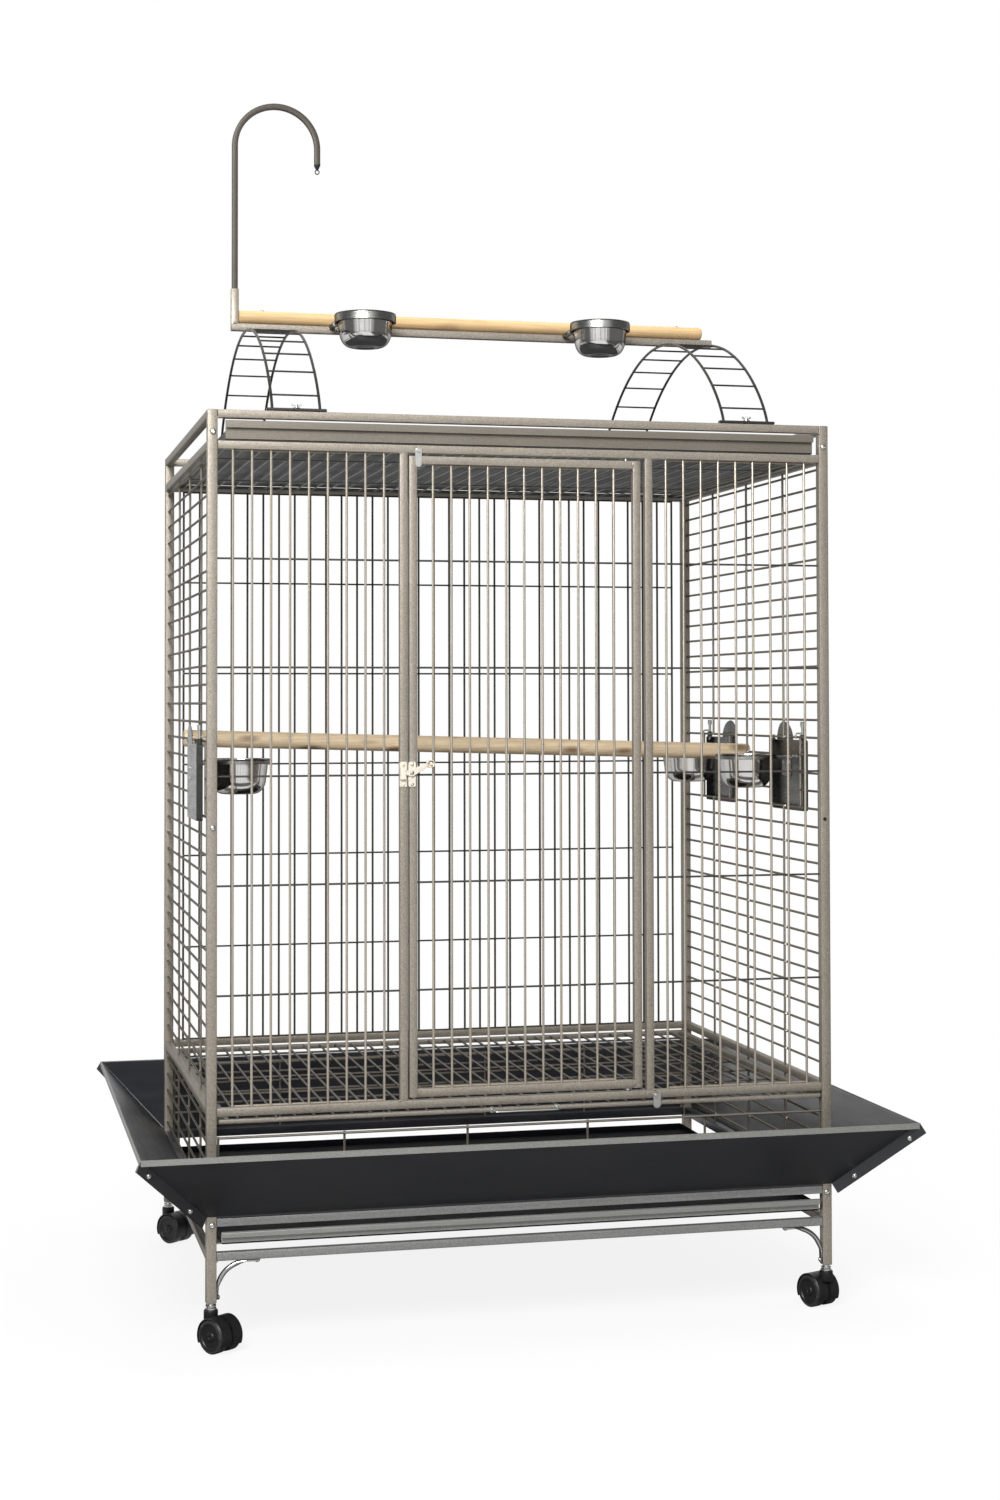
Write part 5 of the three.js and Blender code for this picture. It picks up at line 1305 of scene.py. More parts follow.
def caster(corner):
    """The hood and the swivelling stem of one caster, and its wheels."""
    swivel = Vector(joint(f"caster_{corner}_swivel")["pos_m"])
    roll = joint(f"caster_{corner}_roll")
    axle = Vector(roll["pos_m"])
    across = Vector(roll["axis"]).normalized()
    forward = Vector((axle.x - swivel.x, axle.y - swivel.y, 0)).normalized()
    housing, stem = Shell(), Shell()
    # The hood is an arch over both wheels, with a closed web between them.
    web = PAIR_WIDTH / 2 - WHEEL_WIDTH - FIT_GAP
    for width, inner in ((2 * web, 1 * MM), (PAIR_WIDTH, HOOD_RADIUS - HOOD_WALL)):
        face, edge = width / 2, HOOD_RADIUS - HOOD_EDGE
        profile = [(inner, -face), (edge, -face), (HOOD_RADIUS, HOOD_EDGE - face),
                   (HOOD_RADIUS, face - HOOD_EDGE), (edge, face), (inner, face)]
        rings = []
        for i in range(HOOD_STEPS + 1):
            angle = (math.pi + 2 * HOOD_WRAP) * i / HOOD_STEPS - HOOD_WRAP
            out = math.cos(angle) * forward + math.sin(angle) * Z
            rings.append([axle + radius * out + place * across for radius, place in profile])
        housing.skin(rings)
    housing.rod(axle - web * across, axle + web * across, AXLE_BOSS, 32, 0.6 * MM)
    foot = (swivel.x, swivel.y, 0)
    housing.turned(in_mm(STEM_BOSS), foot, Z, 36)
    stem.turned(in_mm(STEM), foot, Z, 28)
    body = f"swivel_{corner}"
    made(f"caster_{corner}_hood", housing, "plastic", [f"caster_housing_{corner}"], body=body)
    made(f"caster_{corner}_stem", stem, "zinc", body=body)
    wheels(corner, axle, across)


def wheels(corner, axle, across):
    """Two wheels with soft treads, dished hubs and caps on a common axle."""
    hubs, treads = Shell(), Shell()
    rim = WHEEL_RADIUS - TREAD_HEIGHT
    outer, inner = PAIR_WIDTH / 2, PAIR_WIDTH / 2 - WHEEL_WIDTH
    hub = [(0, inner), (rim, inner)]
    hub += [(rim + radius, outer + height) for radius, height in in_mm(HUB_RIM)]
    hub += [(radius, outer + height) for radius, height in in_mm(HUB_CAP)]
    flat = WHEEL_RADIUS - TREAD_CROWN
    tread = [(rim - 0.3 * MM, inner), (flat - 1.6 * MM, inner), (flat, inner + 2 * MM),
             (WHEEL_RADIUS, (inner + outer) / 2), (flat, outer - 2.6 * MM),
             (flat - 1.8 * MM, outer - 0.6 * MM), (rim - 0.3 * MM, outer - 0.5 * MM)]
    for facing in (-1, 1):
        hubs.turned(hub, axle, facing * across, 48)
        treads.turned(tread, axle, facing * across, 56, closed=True)
    hubs.rod(axle - inner * across, axle + inner * across, AXLE, 16)
    body = f"wheels_{corner}"
    made(f"caster_{corner}_hubs", hubs, "plastic", [f"caster_wheels_{corner}"], body=body)
    made(f"caster_{corner}_treads", treads, "tread", body=body)


# Play top


LADDER_X = 369 * MM
LADDER_HALF_WIDTH = 37.5 * MM
LADDER_WIRE = 4.6 * MM
LADDER_RUNG = 3 * MM
LADDER_RUNGS = 14
LADDER_REACH_Y = 370 * MM
LADDER_FULLNESS_SHARE = 1.54
LADDER_STEPS = 64
LADDER_FOOT_LENGTH = 94 * MM
LADDER_FOOT_WIDTH = 11 * MM
LADDER_FOOT_HEIGHT = 4.7 * MM
WING_WASHER = (12 * MM, 1.2 * MM)  # width and height
WING_SPAN = 14 * MM


def ladder_point(share, top, foot):
    """A point on the arch's side wire, for a share of the turn from front to back."""
    angle = (2 * share - 1) * math.pi / 2
    rise = (top - foot) * max(math.cos(angle), 0) ** LADDER_FULLNESS_SHARE
    return Vector((0, LADDER_REACH_Y * math.sin(angle), foot + rise))


def ladder(side):
    """An arch of two wires with rungs, screwed down by wing nuts."""
    x = SIDES[side] * LADDER_X
    foot_z = POST_TOP_Z + LADDER_FOOT_HEIGHT / 2
    top_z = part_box("play_rail")[0].z - LADDER_WIRE / 2 - FIT_GAP
    path = [ladder_point(i / LADDER_STEPS, top_z, foot_z) + x * X
            for i in range(LADDER_STEPS + 1)]
    shell, nuts = Shell(), Shell()
    for edge in (-1, 1):
        shift = edge * LADDER_HALF_WIDTH * X
        shell.sweep([point + shift for point in path], round_section(LADDER_WIRE, 12), X)
        y, z = edge * (HALF_DEPTH - RAIL / 2), foot_z + FIT_GAP
        half_foot = LADDER_FOOT_LENGTH / 2
        shell.tube((x - half_foot, y, z), (x + half_foot, y, z), LADDER_FOOT_WIDTH,
                   LADDER_FOOT_HEIGHT, Y, 1.2 * MM)
        top = z + LADDER_FOOT_HEIGHT / 2
        washer(nuts, (x, y, top), Z, *WING_WASHER)
        wing_nut(nuts, (x, y, top + WING_WASHER[1]), WING_SPAN)
    lengths = [0]
    for before, after in zip(path, path[1:]):
        lengths.append(lengths[-1] + (after - before).length)
    for rung in range(LADDER_RUNGS):
        goal = lengths[-1] * (rung + 0.5) / LADDER_RUNGS
        step = next(i for i, length in enumerate(lengths) if length >= goal)
        share = (goal - lengths[step - 1]) / (lengths[step] - lengths[step - 1])
        middle = path[step - 1].lerp(path[step], share)
        reach = LADDER_HALF_WIDTH * X
        shell.rod(middle - reach, middle + reach, LADDER_RUNG, 12)
        for edge in (-1, 1):
            shell.bead(middle + edge * reach, LADDER_WIRE * 1.15)
    made(f"ladder_{side}_arch", shell, "ladder", [f"ladder_{side}"])
    made(f"ladder_{side}_wing_nuts", nuts, "zinc")


SOCKET_WALL = 1.2 * MM
SOCKET_CORNER = 0.6 * MM
SOCKET_EDGE = 0.4 * MM
SOCKET_DEPTH = 30 * MM


def play_rail():
    """The tube under the perch, with an open socket for the hook."""
    low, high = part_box("play_rail")
    socket = Shell()
    z = low.z + RAIL / 2
    socket.tube((low.x, 0, z), (high.x, 0, z), RAIL)
    leg_x = low.x + RAIL / 2
    bore = RAIL - 2 * SOCKET_WALL
    outer = tube_section(RAIL, RAIL, sizes().tube_corner)
    inner = tube_section(bore, bore, SOCKET_CORNER)
    stops = [(low.z + RAIL - WELD, outer), (high.z - SOCKET_EDGE, outer),
             (high.z, [(u * 0.96, v * 0.96) for u, v in outer]), (high.z, inner),
             (high.z - SOCKET_DEPTH, inner)]
    socket.skin([[(leg_x + u, v, height) for u, v in ring] for height, ring in stops])
    for edge in (-1, 1):
        socket.weld((leg_x, edge * RAIL / 2, low.z + RAIL), 0.8, X, 1.6)
    made("play_rail_tube", socket, "frame", ["play_rail"])


HOOK_SIDE = 10 * MM
HOOK_RADIUS = 71 * MM
HOOK_FALL = 26 * MM
HOOK_TIP = 9 * MM
HOOK_TIP_RINGS = ((-1, 10.4, 10.4), (0.6, 10.8, 10.6), (4, 8.4, 8), (9, 3.4, 4))  # drop and size
HOOK_EYE = 7 * MM
HOOK_EYE_WIRE = 2 * MM
HOOK_EYE_SHANK = 2.4 * MM


def hook_tube():
    """The bent square tube with its pinched end and hanging eye."""
    low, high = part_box("hook_tube")
    left_x = low.x + HOOK_SIDE / 2
    middle_x = left_x + HOOK_RADIUS
    arc_z = high.z - HOOK_SIDE / 2 - HOOK_RADIUS
    end_z = arc_z - HOOK_FALL
    bend = [(x, 0, z) for x, z in arc((middle_x, arc_z), HOOK_RADIUS, 180, 0, 40)]
    shell = Shell()
    section = tube_section(HOOK_SIDE, HOOK_SIDE, sizes().tube_corner)
    end_x = middle_x + HOOK_RADIUS
    path = [(left_x, 0, low.z), *bend, (end_x, 0, end_z)]
    shell.sweep(path, section, Y)
    made("hook_tube_bend", shell, "hook", ["hook_tube"], body="hook")
    tip, eye = Shell(), Shell()
    # The free end is pinched flat, and a small eye hangs from it.
    rings = []
    for drop, width, depth in HOOK_TIP_RINGS:
        ring = tube_section(width * MM, depth * MM, min(width, depth) * 0.2 * MM)
        rings.append([(end_x + u, v, end_z - drop * MM) for u, v in ring])
    tip.skin(rings)
    made("hook_tube_tip", tip, "plastic", body="hook")
    eye_z = end_z - HOOK_TIP - HOOK_EYE / 2
    ring = [(end_x + u, 0, eye_z + v) for u, v in round_section(HOOK_EYE, 28)]
    eye.sweep(ring, round_section(HOOK_EYE_WIRE, 10), Y, closed=True)
    eye.rod((end_x, 0, eye_z + HOOK_EYE / 2 - 0.5 * MM), (end_x, 0, end_z), HOOK_EYE_SHANK, 12)
    made("hook_tube_eye", eye, "ladder", body="hook", slot="zinc")


def perch_rings(start, end, diameter, seed, steps=60, sides=28, wander=0.006):
    """A turned dowel with softly rounded ends and a faint hand-sanded unevenness."""
    draw = random.Random(seed)
    start, end = Vector(start), Vector(end)
    along = (end - start).normalized()
    phases = [draw.uniform(0, math.tau) for _ in range(4)]
    length = (end - start).length
    edge = diameter * 0.12
    stops = [(0, 1 - 2 * edge / diameter), (edge * 0.35 / length, 1 - 0.7 * edge / diameter),
             (edge / length, 1)]
    stops += [(i / steps, 1) for i in range(1, steps)]
    stops += [(1 - place, share) for place, share in reversed(stops[:3])]
    rings = []
    for place, share in stops:
        swell = 1 + wander * (math.sin(7 * place + phases[0]) + math.sin(19 * place + phases[1]))
        centre = start + place * length * along
        section = []
        for i in range(sides):
            turn = math.tau * i / sides
            out = 1 + wander * math.sin(2 * turn + phases[2] + 5 * place)
            radius = diameter / 2 * share * min(swell * out, 1)
            section.append((radius * math.cos(turn), radius * math.sin(turn)))
        rings.append(swept_rings([centre, centre + along], section, Z)[0])
    return rings


PERCH_SCREWS_X = (-376 * MM, 367 * MM)
PERCH_SCREW = (8 * MM, 0.25)  # width of its head, and the head's height by its width
PERCH_SCREW_SINK = 0.6 * MM


def play_perch():
    """The perch on top, held by two screws."""
    low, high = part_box("play_perch")
    z, diameter = (low.z + high.z) / 2, high.z - low.z
    shell, screws = Shell(), Shell()
    shell.skin(perch_rings((low.x, 0, z), (high.x, 0, z), diameter, 3))
    for x in PERCH_SCREWS_X:
        button_bolt(screws, (x, 0, high.z - PERCH_SCREW_SINK), Z, *PERCH_SCREW)
    made("play_perch_dowel", shell, "pine", ["play_perch"])
    made("play_perch_screws", screws, "zinc")


# Bowls and perch


BOWL_RIM = 104 * MM
BOWL_MOUTH = 95 * MM
BOWL_FOOT = 54 * MM
BOWL_FOOT_BEND = 26 * MM
BOWL_HEIGHT = 57 * MM
BOWL_SHEET = 1.4 * MM
BOWL_ROLL = 2.2 * MM
BOWL_HOLLOW = 1.6 * MM
RING_BORE = 98 * MM


def bowl_profile(rim_z):
    """A pressed bowl with a rolled rim, nearly upright sides and a wide round foot."""
    foot, mouth, edge = BOWL_FOOT / 2 - 2 * MM, BOWL_MOUTH / 2, BOWL_RIM / 2
    low = rim_z - BOWL_HEIGHT
    reach = mouth - 1 * MM - BOWL_FOOT / 2
    base = [(0, BOWL_HOLLOW), (BOWL_FOOT / 2 * 0.66, BOWL_HOLLOW), (BOWL_FOOT / 2 * 0.78, 0),
            (foot, 0)]
    turns = [math.pi / 2 * i / 10 for i in range(1, 11)]
    side = [(foot + reach * math.sin(turn), BOWL_FOOT_BEND * (1 - math.cos(turn)))
            for turn in turns]
    outer = [(radius, low + rise) for radius, rise in base + side]
    outer += [(mouth - 1 * MM, rim_z - 16 * MM), (mouth, rim_z - 3.4 * MM)]
    rim = [(edge - BOWL_ROLL, rim_z - 1.9 * MM), (edge - 0.6 * MM, rim_z - 1.7 * MM),
           (edge, rim_z - 0.9 * MM), (edge - 0.6 * MM, rim_z - 0.15 * MM),
           (edge - BOWL_ROLL, rim_z), (mouth - 0.4 * MM, rim_z - 0.6 * MM)]
    flat_z = low + BOWL_FOOT_BEND * 0.7  # below it, the sheet's thickness counts upwards too
    inner = [(max(radius - BOWL_SHEET, 0), z + BOWL_SHEET * (z < flat_z))
             for radius, z in reversed(outer)]
    return outer + rim + inner


def bowl(name, body):
    low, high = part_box(name)
    middle = ((low.x + high.x) / 2, (low.y + high.y) / 2, 0)
    shell = Shell()
    shell.turned(bowl_profile(high.z), middle, Z, 72)
    made(f"{name}_steel", shell, "bowl", [name], body=body, smooth=50)


def band(shell, middle, top_z, outer, height):
    """The ring that a bowl hangs in, with rounded edges."""
    bore, reach, edge = RING_BORE / 2, outer / 2, 0.7 * MM
    profile = [(bore, top_z - edge), (bore + edge, top_z), (reach - edge, top_z),
               (reach, top_z - edge), (reach, top_z - height + edge),
               (reach - edge, top_z - height), (bore + edge, top_z - height),
               (bore, top_z - height + edge)]
    shell.turned(profile, (middle[0], middle[1], 0), Z, 72, closed=True)


PLAY_RING_OUTER = 105 * MM
PLAY_RING_HEIGHT = 18 * MM
PLAY_BAND_HEIGHT = 13 * MM
PLAY_ARM = 9 * MM
PLAY_ARM_OFFSET = 49 * MM


def play_ring(side):
    """The band of a play bowl, on an arm from the play rail."""
    name = f"play_ring_{side}"
    bowl_low, bowl_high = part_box(f"play_bowl_{side}")
    middle = ((bowl_low.x + bowl_high.x) / 2, (bowl_low.y + bowl_high.y) / 2)
    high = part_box(name)[1]
    shell = Shell()
    band(shell, middle, high.z, PLAY_RING_OUTER, PLAY_BAND_HEIGHT)
    chord = math.sqrt((PLAY_RING_OUTER / 2) ** 2 - PLAY_ARM_OFFSET ** 2)
    arm_x, arm_z = middle[0] - PLAY_ARM_OFFSET, high.z - PLAY_RING_HEIGHT + PLAY_ARM / 2
    shell.rod((arm_x, middle[1] + chord, arm_z), (arm_x, high.y, arm_z), PLAY_ARM, 20, 0.5 * MM)
    made(f"{name}_band", shell, "band", [name])


PERCH_RADIUS = 14.25 * MM
PERCH_SLOT_SLACK = 0.6 * MM
PERCH_END_STEPS = 14


def inner_perch():
    """The long perch, lower at its right end, notched over a mesh wire at each end."""
    low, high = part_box("inner_perch")
    left_z, right_z = mesh_row_z(FEEDER_ROW), mesh_row_z(FEEDER_ROW + 1)
    wire_x = HALF_WIDTH - ROW_INSET
    slope = (right_z - left_z) / (2 * wire_x)
    y = (low.y + high.y) / 2
    middle_z = (left_z + right_z) / 2
    shell = Shell()
    slot_x = wire_x - sizes().bar_wire / 2 - PERCH_SLOT_SLACK
    rings = perch_rings((-slot_x, y, middle_z - slope * slot_x),
                        (slot_x, y, middle_z + slope * slot_x), 2 * PERCH_RADIUS, 7)
    shell.skin(rings)
    half_slot = sizes().bar_wire / 2 + PERCH_SLOT_SLACK
    end_x = high.x - 0.5 * MM
    slot_turn = math.asin(half_slot / PERCH_RADIUS)
    turns = [slot_turn + (math.pi - 2 * slot_turn) * i / PERCH_END_STEPS
             for i in range(PERCH_END_STEPS + 1)]
    chord = [(PERCH_RADIUS * math.cos(turn), PERCH_RADIUS * math.sin(turn)) for turn in turns]
    for end in (-1, 1):
        for face in (-1, 1):
            rings = []
            for x, share in ((slot_x - 6 * MM, 0.98), (end_x - 2 * MM, 1), (end_x, 0.93)):
                z = middle_z + slope * end * x
                rings.append([Vector((end * x, y + u * share, z + face * max(
                    v * share, half_slot))) for u, v in chord])
            shell.skin(rings)
    made("inner_perch_dowel", shell, "pale_pine", ["inner_perch"])


# Feeders


PAN_HEIGHT = 120 * MM
PAN_DEPTH = 10 * MM
PAN_STANDOFF = 8 * MM
PAN_BELOW_ROW = 6.6 * MM
PAN_CORNER = 4 * MM
PAN_FACE_GAP = 0.4 * MM  # from the outer face to the folded rim
DOME_HEIGHT = 31 * MM
DOME_WIDTH = 79 * MM
DOME_PEAK = 32 * MM
DOME_STEPS = 12
HINGE_BARREL = 7 * MM
LATCH_INSET = 10 * MM
LATCH_SLEEVE = 9 * MM
LATCH_BOLT = 5 * MM
LATCH_TOP = 31 * MM
LATCH_KNOB = ((0, 0), (3.2, 0), (4, 0.8), (4, 8), (3.2, 9), (0, 9))  # radii and heights in mm
LATCH_KNOB_HEIGHT = 9 * MM
LATCH_HOOK_WIRE = 3 * MM
LATCH_HOOK_REACH = 12.5 * MM
LATCH_HOOK = (2 * MM, 13 * MM)  # heights of its lower end and its top over the pan
LATCH_HOOK_BEND = 2.5 * MM
FEEDER_BOWL_IN = 71.5 * MM
FEEDER_BOWL_SHIFT = 24 * MM  # from the pan's middle towards the hinge
FEEDER_RING_DROP = 2.1 * MM  # below the bowl's rim
FEEDER_RIM_HEIGHT = 95 * MM
FEEDER_RING_OUTER = 108 * MM
FEEDER_RING_HEIGHT = 6 * MM
FEEDER_FOOT = (44 * MM, 36 * MM)
FEEDER_ARM_WIDTH = 24 * MM
FEEDER_RIVETS = ((-14, -12), (14, -12), (0, -28))  # from the ring's middle, in mm
RIVET_DOME = ((0, 0), (3, 0), (2.7, 0.9), (1.6, 1.5), (0, 1.7))  # radii and heights in mm


def feeder_place(opening):
    """Local axes of a feeder: hinge at the origin, pan towards -Y, the outside towards +X."""
    base_z = opening.low_z - PAN_BELOW_ROW
    place = Matrix.Translation((opening.side * (HALF_WIDTH + HINGE_OUT), opening.axis_y, base_z))
    flip = Matrix.Diagonal((opening.side, -opening.pan, 1, 1))
    return place @ flip


def feeder(opening):
    """One feeder: its pan on the hinge, its latch, and its bowl in a ring."""
    place = feeder_place(opening)
    body = f"feeder_{opening.where}"
    outer_x = PAN_STANDOFF - HINGE_OUT
    hinge_y = -HINGE_INSET
    free_y = hinge_y - FEEDER_WIDTH
    pan, pin = Shell(place), Shell(place)
    peak_y = hinge_y - DOME_PEAK
    face = arc((free_y + PAN_CORNER, PAN_CORNER), PAN_CORNER, 180, 270, 4)
    face += arc((hinge_y - 1 * MM, 1 * MM), 1 * MM, 270, 360, 2)
    face.append((hinge_y, PAN_HEIGHT))
    for first, reach in enumerate((DOME_PEAK, DOME_WIDTH - DOME_PEAK)):
        for i in range(1, DOME_STEPS + 1):
            turn = math.pi / 2 * (first + i / DOME_STEPS)
            face.append((peak_y + reach * math.cos(turn),
                         PAN_HEIGHT + DOME_HEIGHT * math.sin(turn)))
    face += arc((free_y + PAN_CORNER, PAN_HEIGHT - PAN_CORNER), PAN_CORNER, 90, 180, 4)
    pan.plate(face, (outer_x - SHEET, 0, 0), Y, Z, SHEET, 0.35 * MM)
    rim = rounded_rectangle(FEEDER_WIDTH, PAN_HEIGHT, PAN_CORNER)
    inner_rim = inset(rim, SHEET)
    middle = Vector((0, (hinge_y + free_y) / 2, PAN_HEIGHT / 2))
    rings = []
    for ring, x in ((rim, outer_x - PAN_FACE_GAP), (rim, outer_x - PAN_DEPTH),
                    (inner_rim, outer_x - PAN_DEPTH), (inner_rim, outer_x - PAN_FACE_GAP)):
        rings.append([middle + Vector((x, u, v)) for u, v in ring])
    pan.skin(rings, closed=True)
    eye_room = HINGE_EYE_HEIGHT / 2 + FIT_GAP
    barrel_low = PAN_BELOW_ROW + eye_room
    barrel_high = PAN_BELOW_ROW + FEEDER_ROWS * BAR_PITCH - eye_room
    pan.rod((0, 0, barrel_low), (0, 0, barrel_high), HINGE_BARREL, 20, 0.5 * MM)
    latch_y = free_y + LATCH_INSET
    pan.rod((0, latch_y, PAN_HEIGHT - SHEET), (0, latch_y, PAN_HEIGHT + LATCH_SLEEVE),
            LATCH_SLEEVE, 20, 0.5 * MM)
    made(f"{body}_pan", pan, "pan", [f"feeder_door_{opening.where}"], body=body)

    knob_top = PAN_HEIGHT + LATCH_TOP
    pin.rod((0, latch_y, PAN_HEIGHT - 6 * MM), (0, latch_y, knob_top - 1 * MM), LATCH_BOLT, 16,
            0.6 * MM)
    pin.turned(in_mm(LATCH_KNOB), (0, latch_y, knob_top - LATCH_KNOB_HEIGHT), Z, 20)
    hook_low, hook_high = (PAN_HEIGHT + height for height in LATCH_HOOK)
    bend_x, bend_z = LATCH_HOOK_BEND - LATCH_HOOK_REACH, hook_high - LATCH_HOOK_WIRE / 2
    hook = [(0, latch_y, bend_z), (bend_x, latch_y, bend_z)]
    hook += [(bend_x - LATCH_HOOK_BEND * math.sin(turn), latch_y,
              bend_z - LATCH_HOOK_BEND * (1 - math.cos(turn))) for turn in (0.4, 0.8, 1.2, 1.57)]
    hook.append((-LATCH_HOOK_REACH, latch_y, hook_low))
    pin.sweep(hook, round_section(LATCH_HOOK_WIRE, 12), Y)
    latch = f"feeder_latch_{opening.where}"
    made(f"{latch}_bolt", pin, "zinc", [latch], body=latch)
    feeder_holder(opening, place, outer_x)
    bowl(f"feeder_bowl_{opening.where}", f"feeder_bowl_{opening.where}")


def feeder_holder(opening, place, outer_x):
    """The bowl's band on its arm, with a foot riveted inside the pan."""
    body = f"feeder_{opening.where}"
    ring_z = FEEDER_RIM_HEIGHT - FEEDER_RING_DROP
    bowl_y = -HINGE_INSET - FEEDER_WIDTH / 2 + FEEDER_BOWL_SHIFT
    foot_x = outer_x - SHEET - FIT_GAP
    shell, rivets = Shell(place), Shell(place)
    band(shell, (-FEEDER_BOWL_IN, bowl_y), ring_z, FEEDER_RING_OUTER, FEEDER_RING_HEIGHT)
    arm_start = (RING_BORE + FEEDER_RING_OUTER) / 4 - FEEDER_BOWL_IN
    arm_z = ring_z - FEEDER_RING_HEIGHT / 2
    shell.tube((arm_start, bowl_y, arm_z), (foot_x, bowl_y, arm_z), FEEDER_ARM_WIDTH,
               FEEDER_RING_HEIGHT, Y, 1.4 * MM)
    width, height = FEEDER_FOOT
    foot = rounded_rectangle(width, height, 5 * MM)
    shell.plate(foot, (foot_x - SHEET, bowl_y, ring_z - height / 2), Y, Z, SHEET, 0.3 * MM)
    made(f"{body}_bowl_ring", shell, "band", [f"feeder_ring_{opening.where}"], body=body)
    for y, z in in_mm(FEEDER_RIVETS):
        spot = Vector((outer_x, bowl_y + y, ring_z + z))
        rivets.turned(in_mm(RIVET_DOME), spot, X, 20)
        rivets.turned(in_mm(RIVET_DOME), spot - (SHEET * 2 + FIT_GAP) * X, -X, 20)
    made(f"{body}_rivets", rivets, "zinc", body=body)


# Latch and lock tabs


LATCH_SHEET = 2 * MM
LEVER_SHEET = 3 * MM
LEVER_TIP = (16 * MM, 5 * MM)
LEVER_HUB = 12 * MM
LEVER_HANDLE = (29 * MM, 14 * MM)
LEVER_KNOB = (13 * MM, 8 * MM)
LEVER_ARM = 5 * MM
LEVER_PIN = 5 * MM
LEVER_PIN_HEAD = (6.5 * MM, 0.17)  # width, and height by its width
PLATE_CORNER = 3 * MM
SCREW_HEAD = 5.4 * MM
SCREW_INSET = 4.2 * MM
KEEPER_WIDTH = 12 * MM
KEEPER_LIP_REACH = 9 * MM
KEEPER_LIP_HALF = 9 * MM
KEEPER_LIP_DROP = 1.25 * MM
KEEPER_FOLD = 2 * MM
LATCH_BACK_Y = -HALF_DEPTH - FIT_GAP


def latch_base(shell, screws, low_x, width, low, high):
    """A rounded plate on the front with a screw near each end."""
    height = high.z - low.z
    middle = Vector((low_x + width / 2, LATCH_BACK_Y, (low.z + high.z) / 2))
    shell.plate(rounded_rectangle(width, height, PLATE_CORNER), middle, X, Z, LATCH_SHEET,
                0.5 * MM)
    for end in (-1, 1):
        z = middle.z + end * (height / 2 - SCREW_INSET)
        button_bolt(screws, (middle.x, middle.y - LATCH_SHEET, z), -Y, SCREW_HEAD)


def latch_keeper():
    """The plate on the upright, with the lip that holds the lever."""
    low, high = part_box("latch_keeper")
    shell, screws = Shell(), Shell()
    latch_base(shell, screws, low.x, KEEPER_WIDTH, low, high)
    lip_x, lip_y = low.x + LATCH_SHEET / 2, low.y + LATCH_SHEET / 2
    lip = folded([(lip_x, LATCH_BACK_Y), (lip_x, lip_y), (low.x + KEEPER_LIP_REACH, lip_y)],
                 LATCH_SHEET, KEEPER_FOLD)
    lip_z = joint("latch_turn")["pos_m"][2] - KEEPER_LIP_DROP
    shell.skin([[(x, y, lip_z + z) for x, y in lip] for z in (-KEEPER_LIP_HALF, KEEPER_LIP_HALF)])
    made("latch_keeper_plate", shell, "cast", ["latch_keeper"])
    made("latch_keeper_screws", screws, "cast", slot="zinc")


def latch_plate():
    """The plate on the door, with the pin on which the lever turns."""
    low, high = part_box("latch_plate")
    pivot = Vector(joint("latch_turn")["pos_m"])
    shell, pin = Shell(), Shell()
    face_y = LATCH_BACK_Y - LATCH_SHEET - 2 * FIT_GAP - LEVER_SHEET
    pin.rod((pivot.x, LATCH_BACK_Y - LATCH_SHEET + WELD, pivot.z), (pivot.x, face_y, pivot.z),
            LEVER_PIN, 20)
    button_bolt(pin, (pivot.x, face_y, pivot.z), -Y, *LEVER_PIN_HEAD)
    latch_base(shell, pin, low.x, high.x - low.x, low, high)
    made("latch_plate_sheet", shell, "cast", ["latch_plate"], body="door")
    made("latch_plate_pin", pin, "zinc", body="door")


def latch_lever():
    """The lever: a tip behind the keeper, a round hub and an arm that ends in a knob."""
    pivot = Vector(joint("latch_turn")["pos_m"])
    back_y = LATCH_BACK_Y - FIT_GAP - LATCH_SHEET
    shell = Shell()
    reach, tip = LEVER_TIP
    hub = LEVER_HUB / 2
    handle_x, handle_z = LEVER_HANDLE
    outline = arc((-reach + tip / 2, 0), tip / 2, 90, 270, 8)
    outline += arc((0, 0), hub, 235, 300, 8)
    outline += [(handle_x, handle_z - LEVER_ARM / 2), (handle_x, handle_z + LEVER_ARM / 2)]
    outline += arc((0, 0), hub, 100, 130, 6)
    shell.plate(outline, (pivot.x, back_y, pivot.z), X, Z, LEVER_SHEET, 0.7 * MM)
    width, height = LEVER_KNOB
    profile = [(0, 0), (width / 2, 0), (width / 2, LEVER_SHEET), (width * 0.42, LEVER_SHEET + MM),
               (width * 0.42, height * 0.75), (width / 2, height * 0.85),
               (width / 2, height * 1.2), (width * 0.42, height * 1.34),
               (width * 0.38, height * 1.3), (width * 0.34, height * 0.7),
               (width * 0.2, height * 0.7), (width * 0.16, height * 1.3),
               (width * 0.08, height * 1.375), (0, height * 1.38)]
    shell.turned(profile, (pivot.x + handle_x, back_y, pivot.z + handle_z), -Y, 28)
    made("latch_lever_arm", shell, "cast", ["latch_lever"], body="latch_lever")


TAB_SHEET = 1.6 * MM
TAB_CORNER = 2 * MM
TAB_NUT = (7 * MM, 2.8 * MM)  # width and height
TAB_BOLT = 4 * MM
TAB_BOLT_REACH = 7 * MM
TAB_BOLT_TIP = 3 * MM  # from the tab's back to the bolt's end


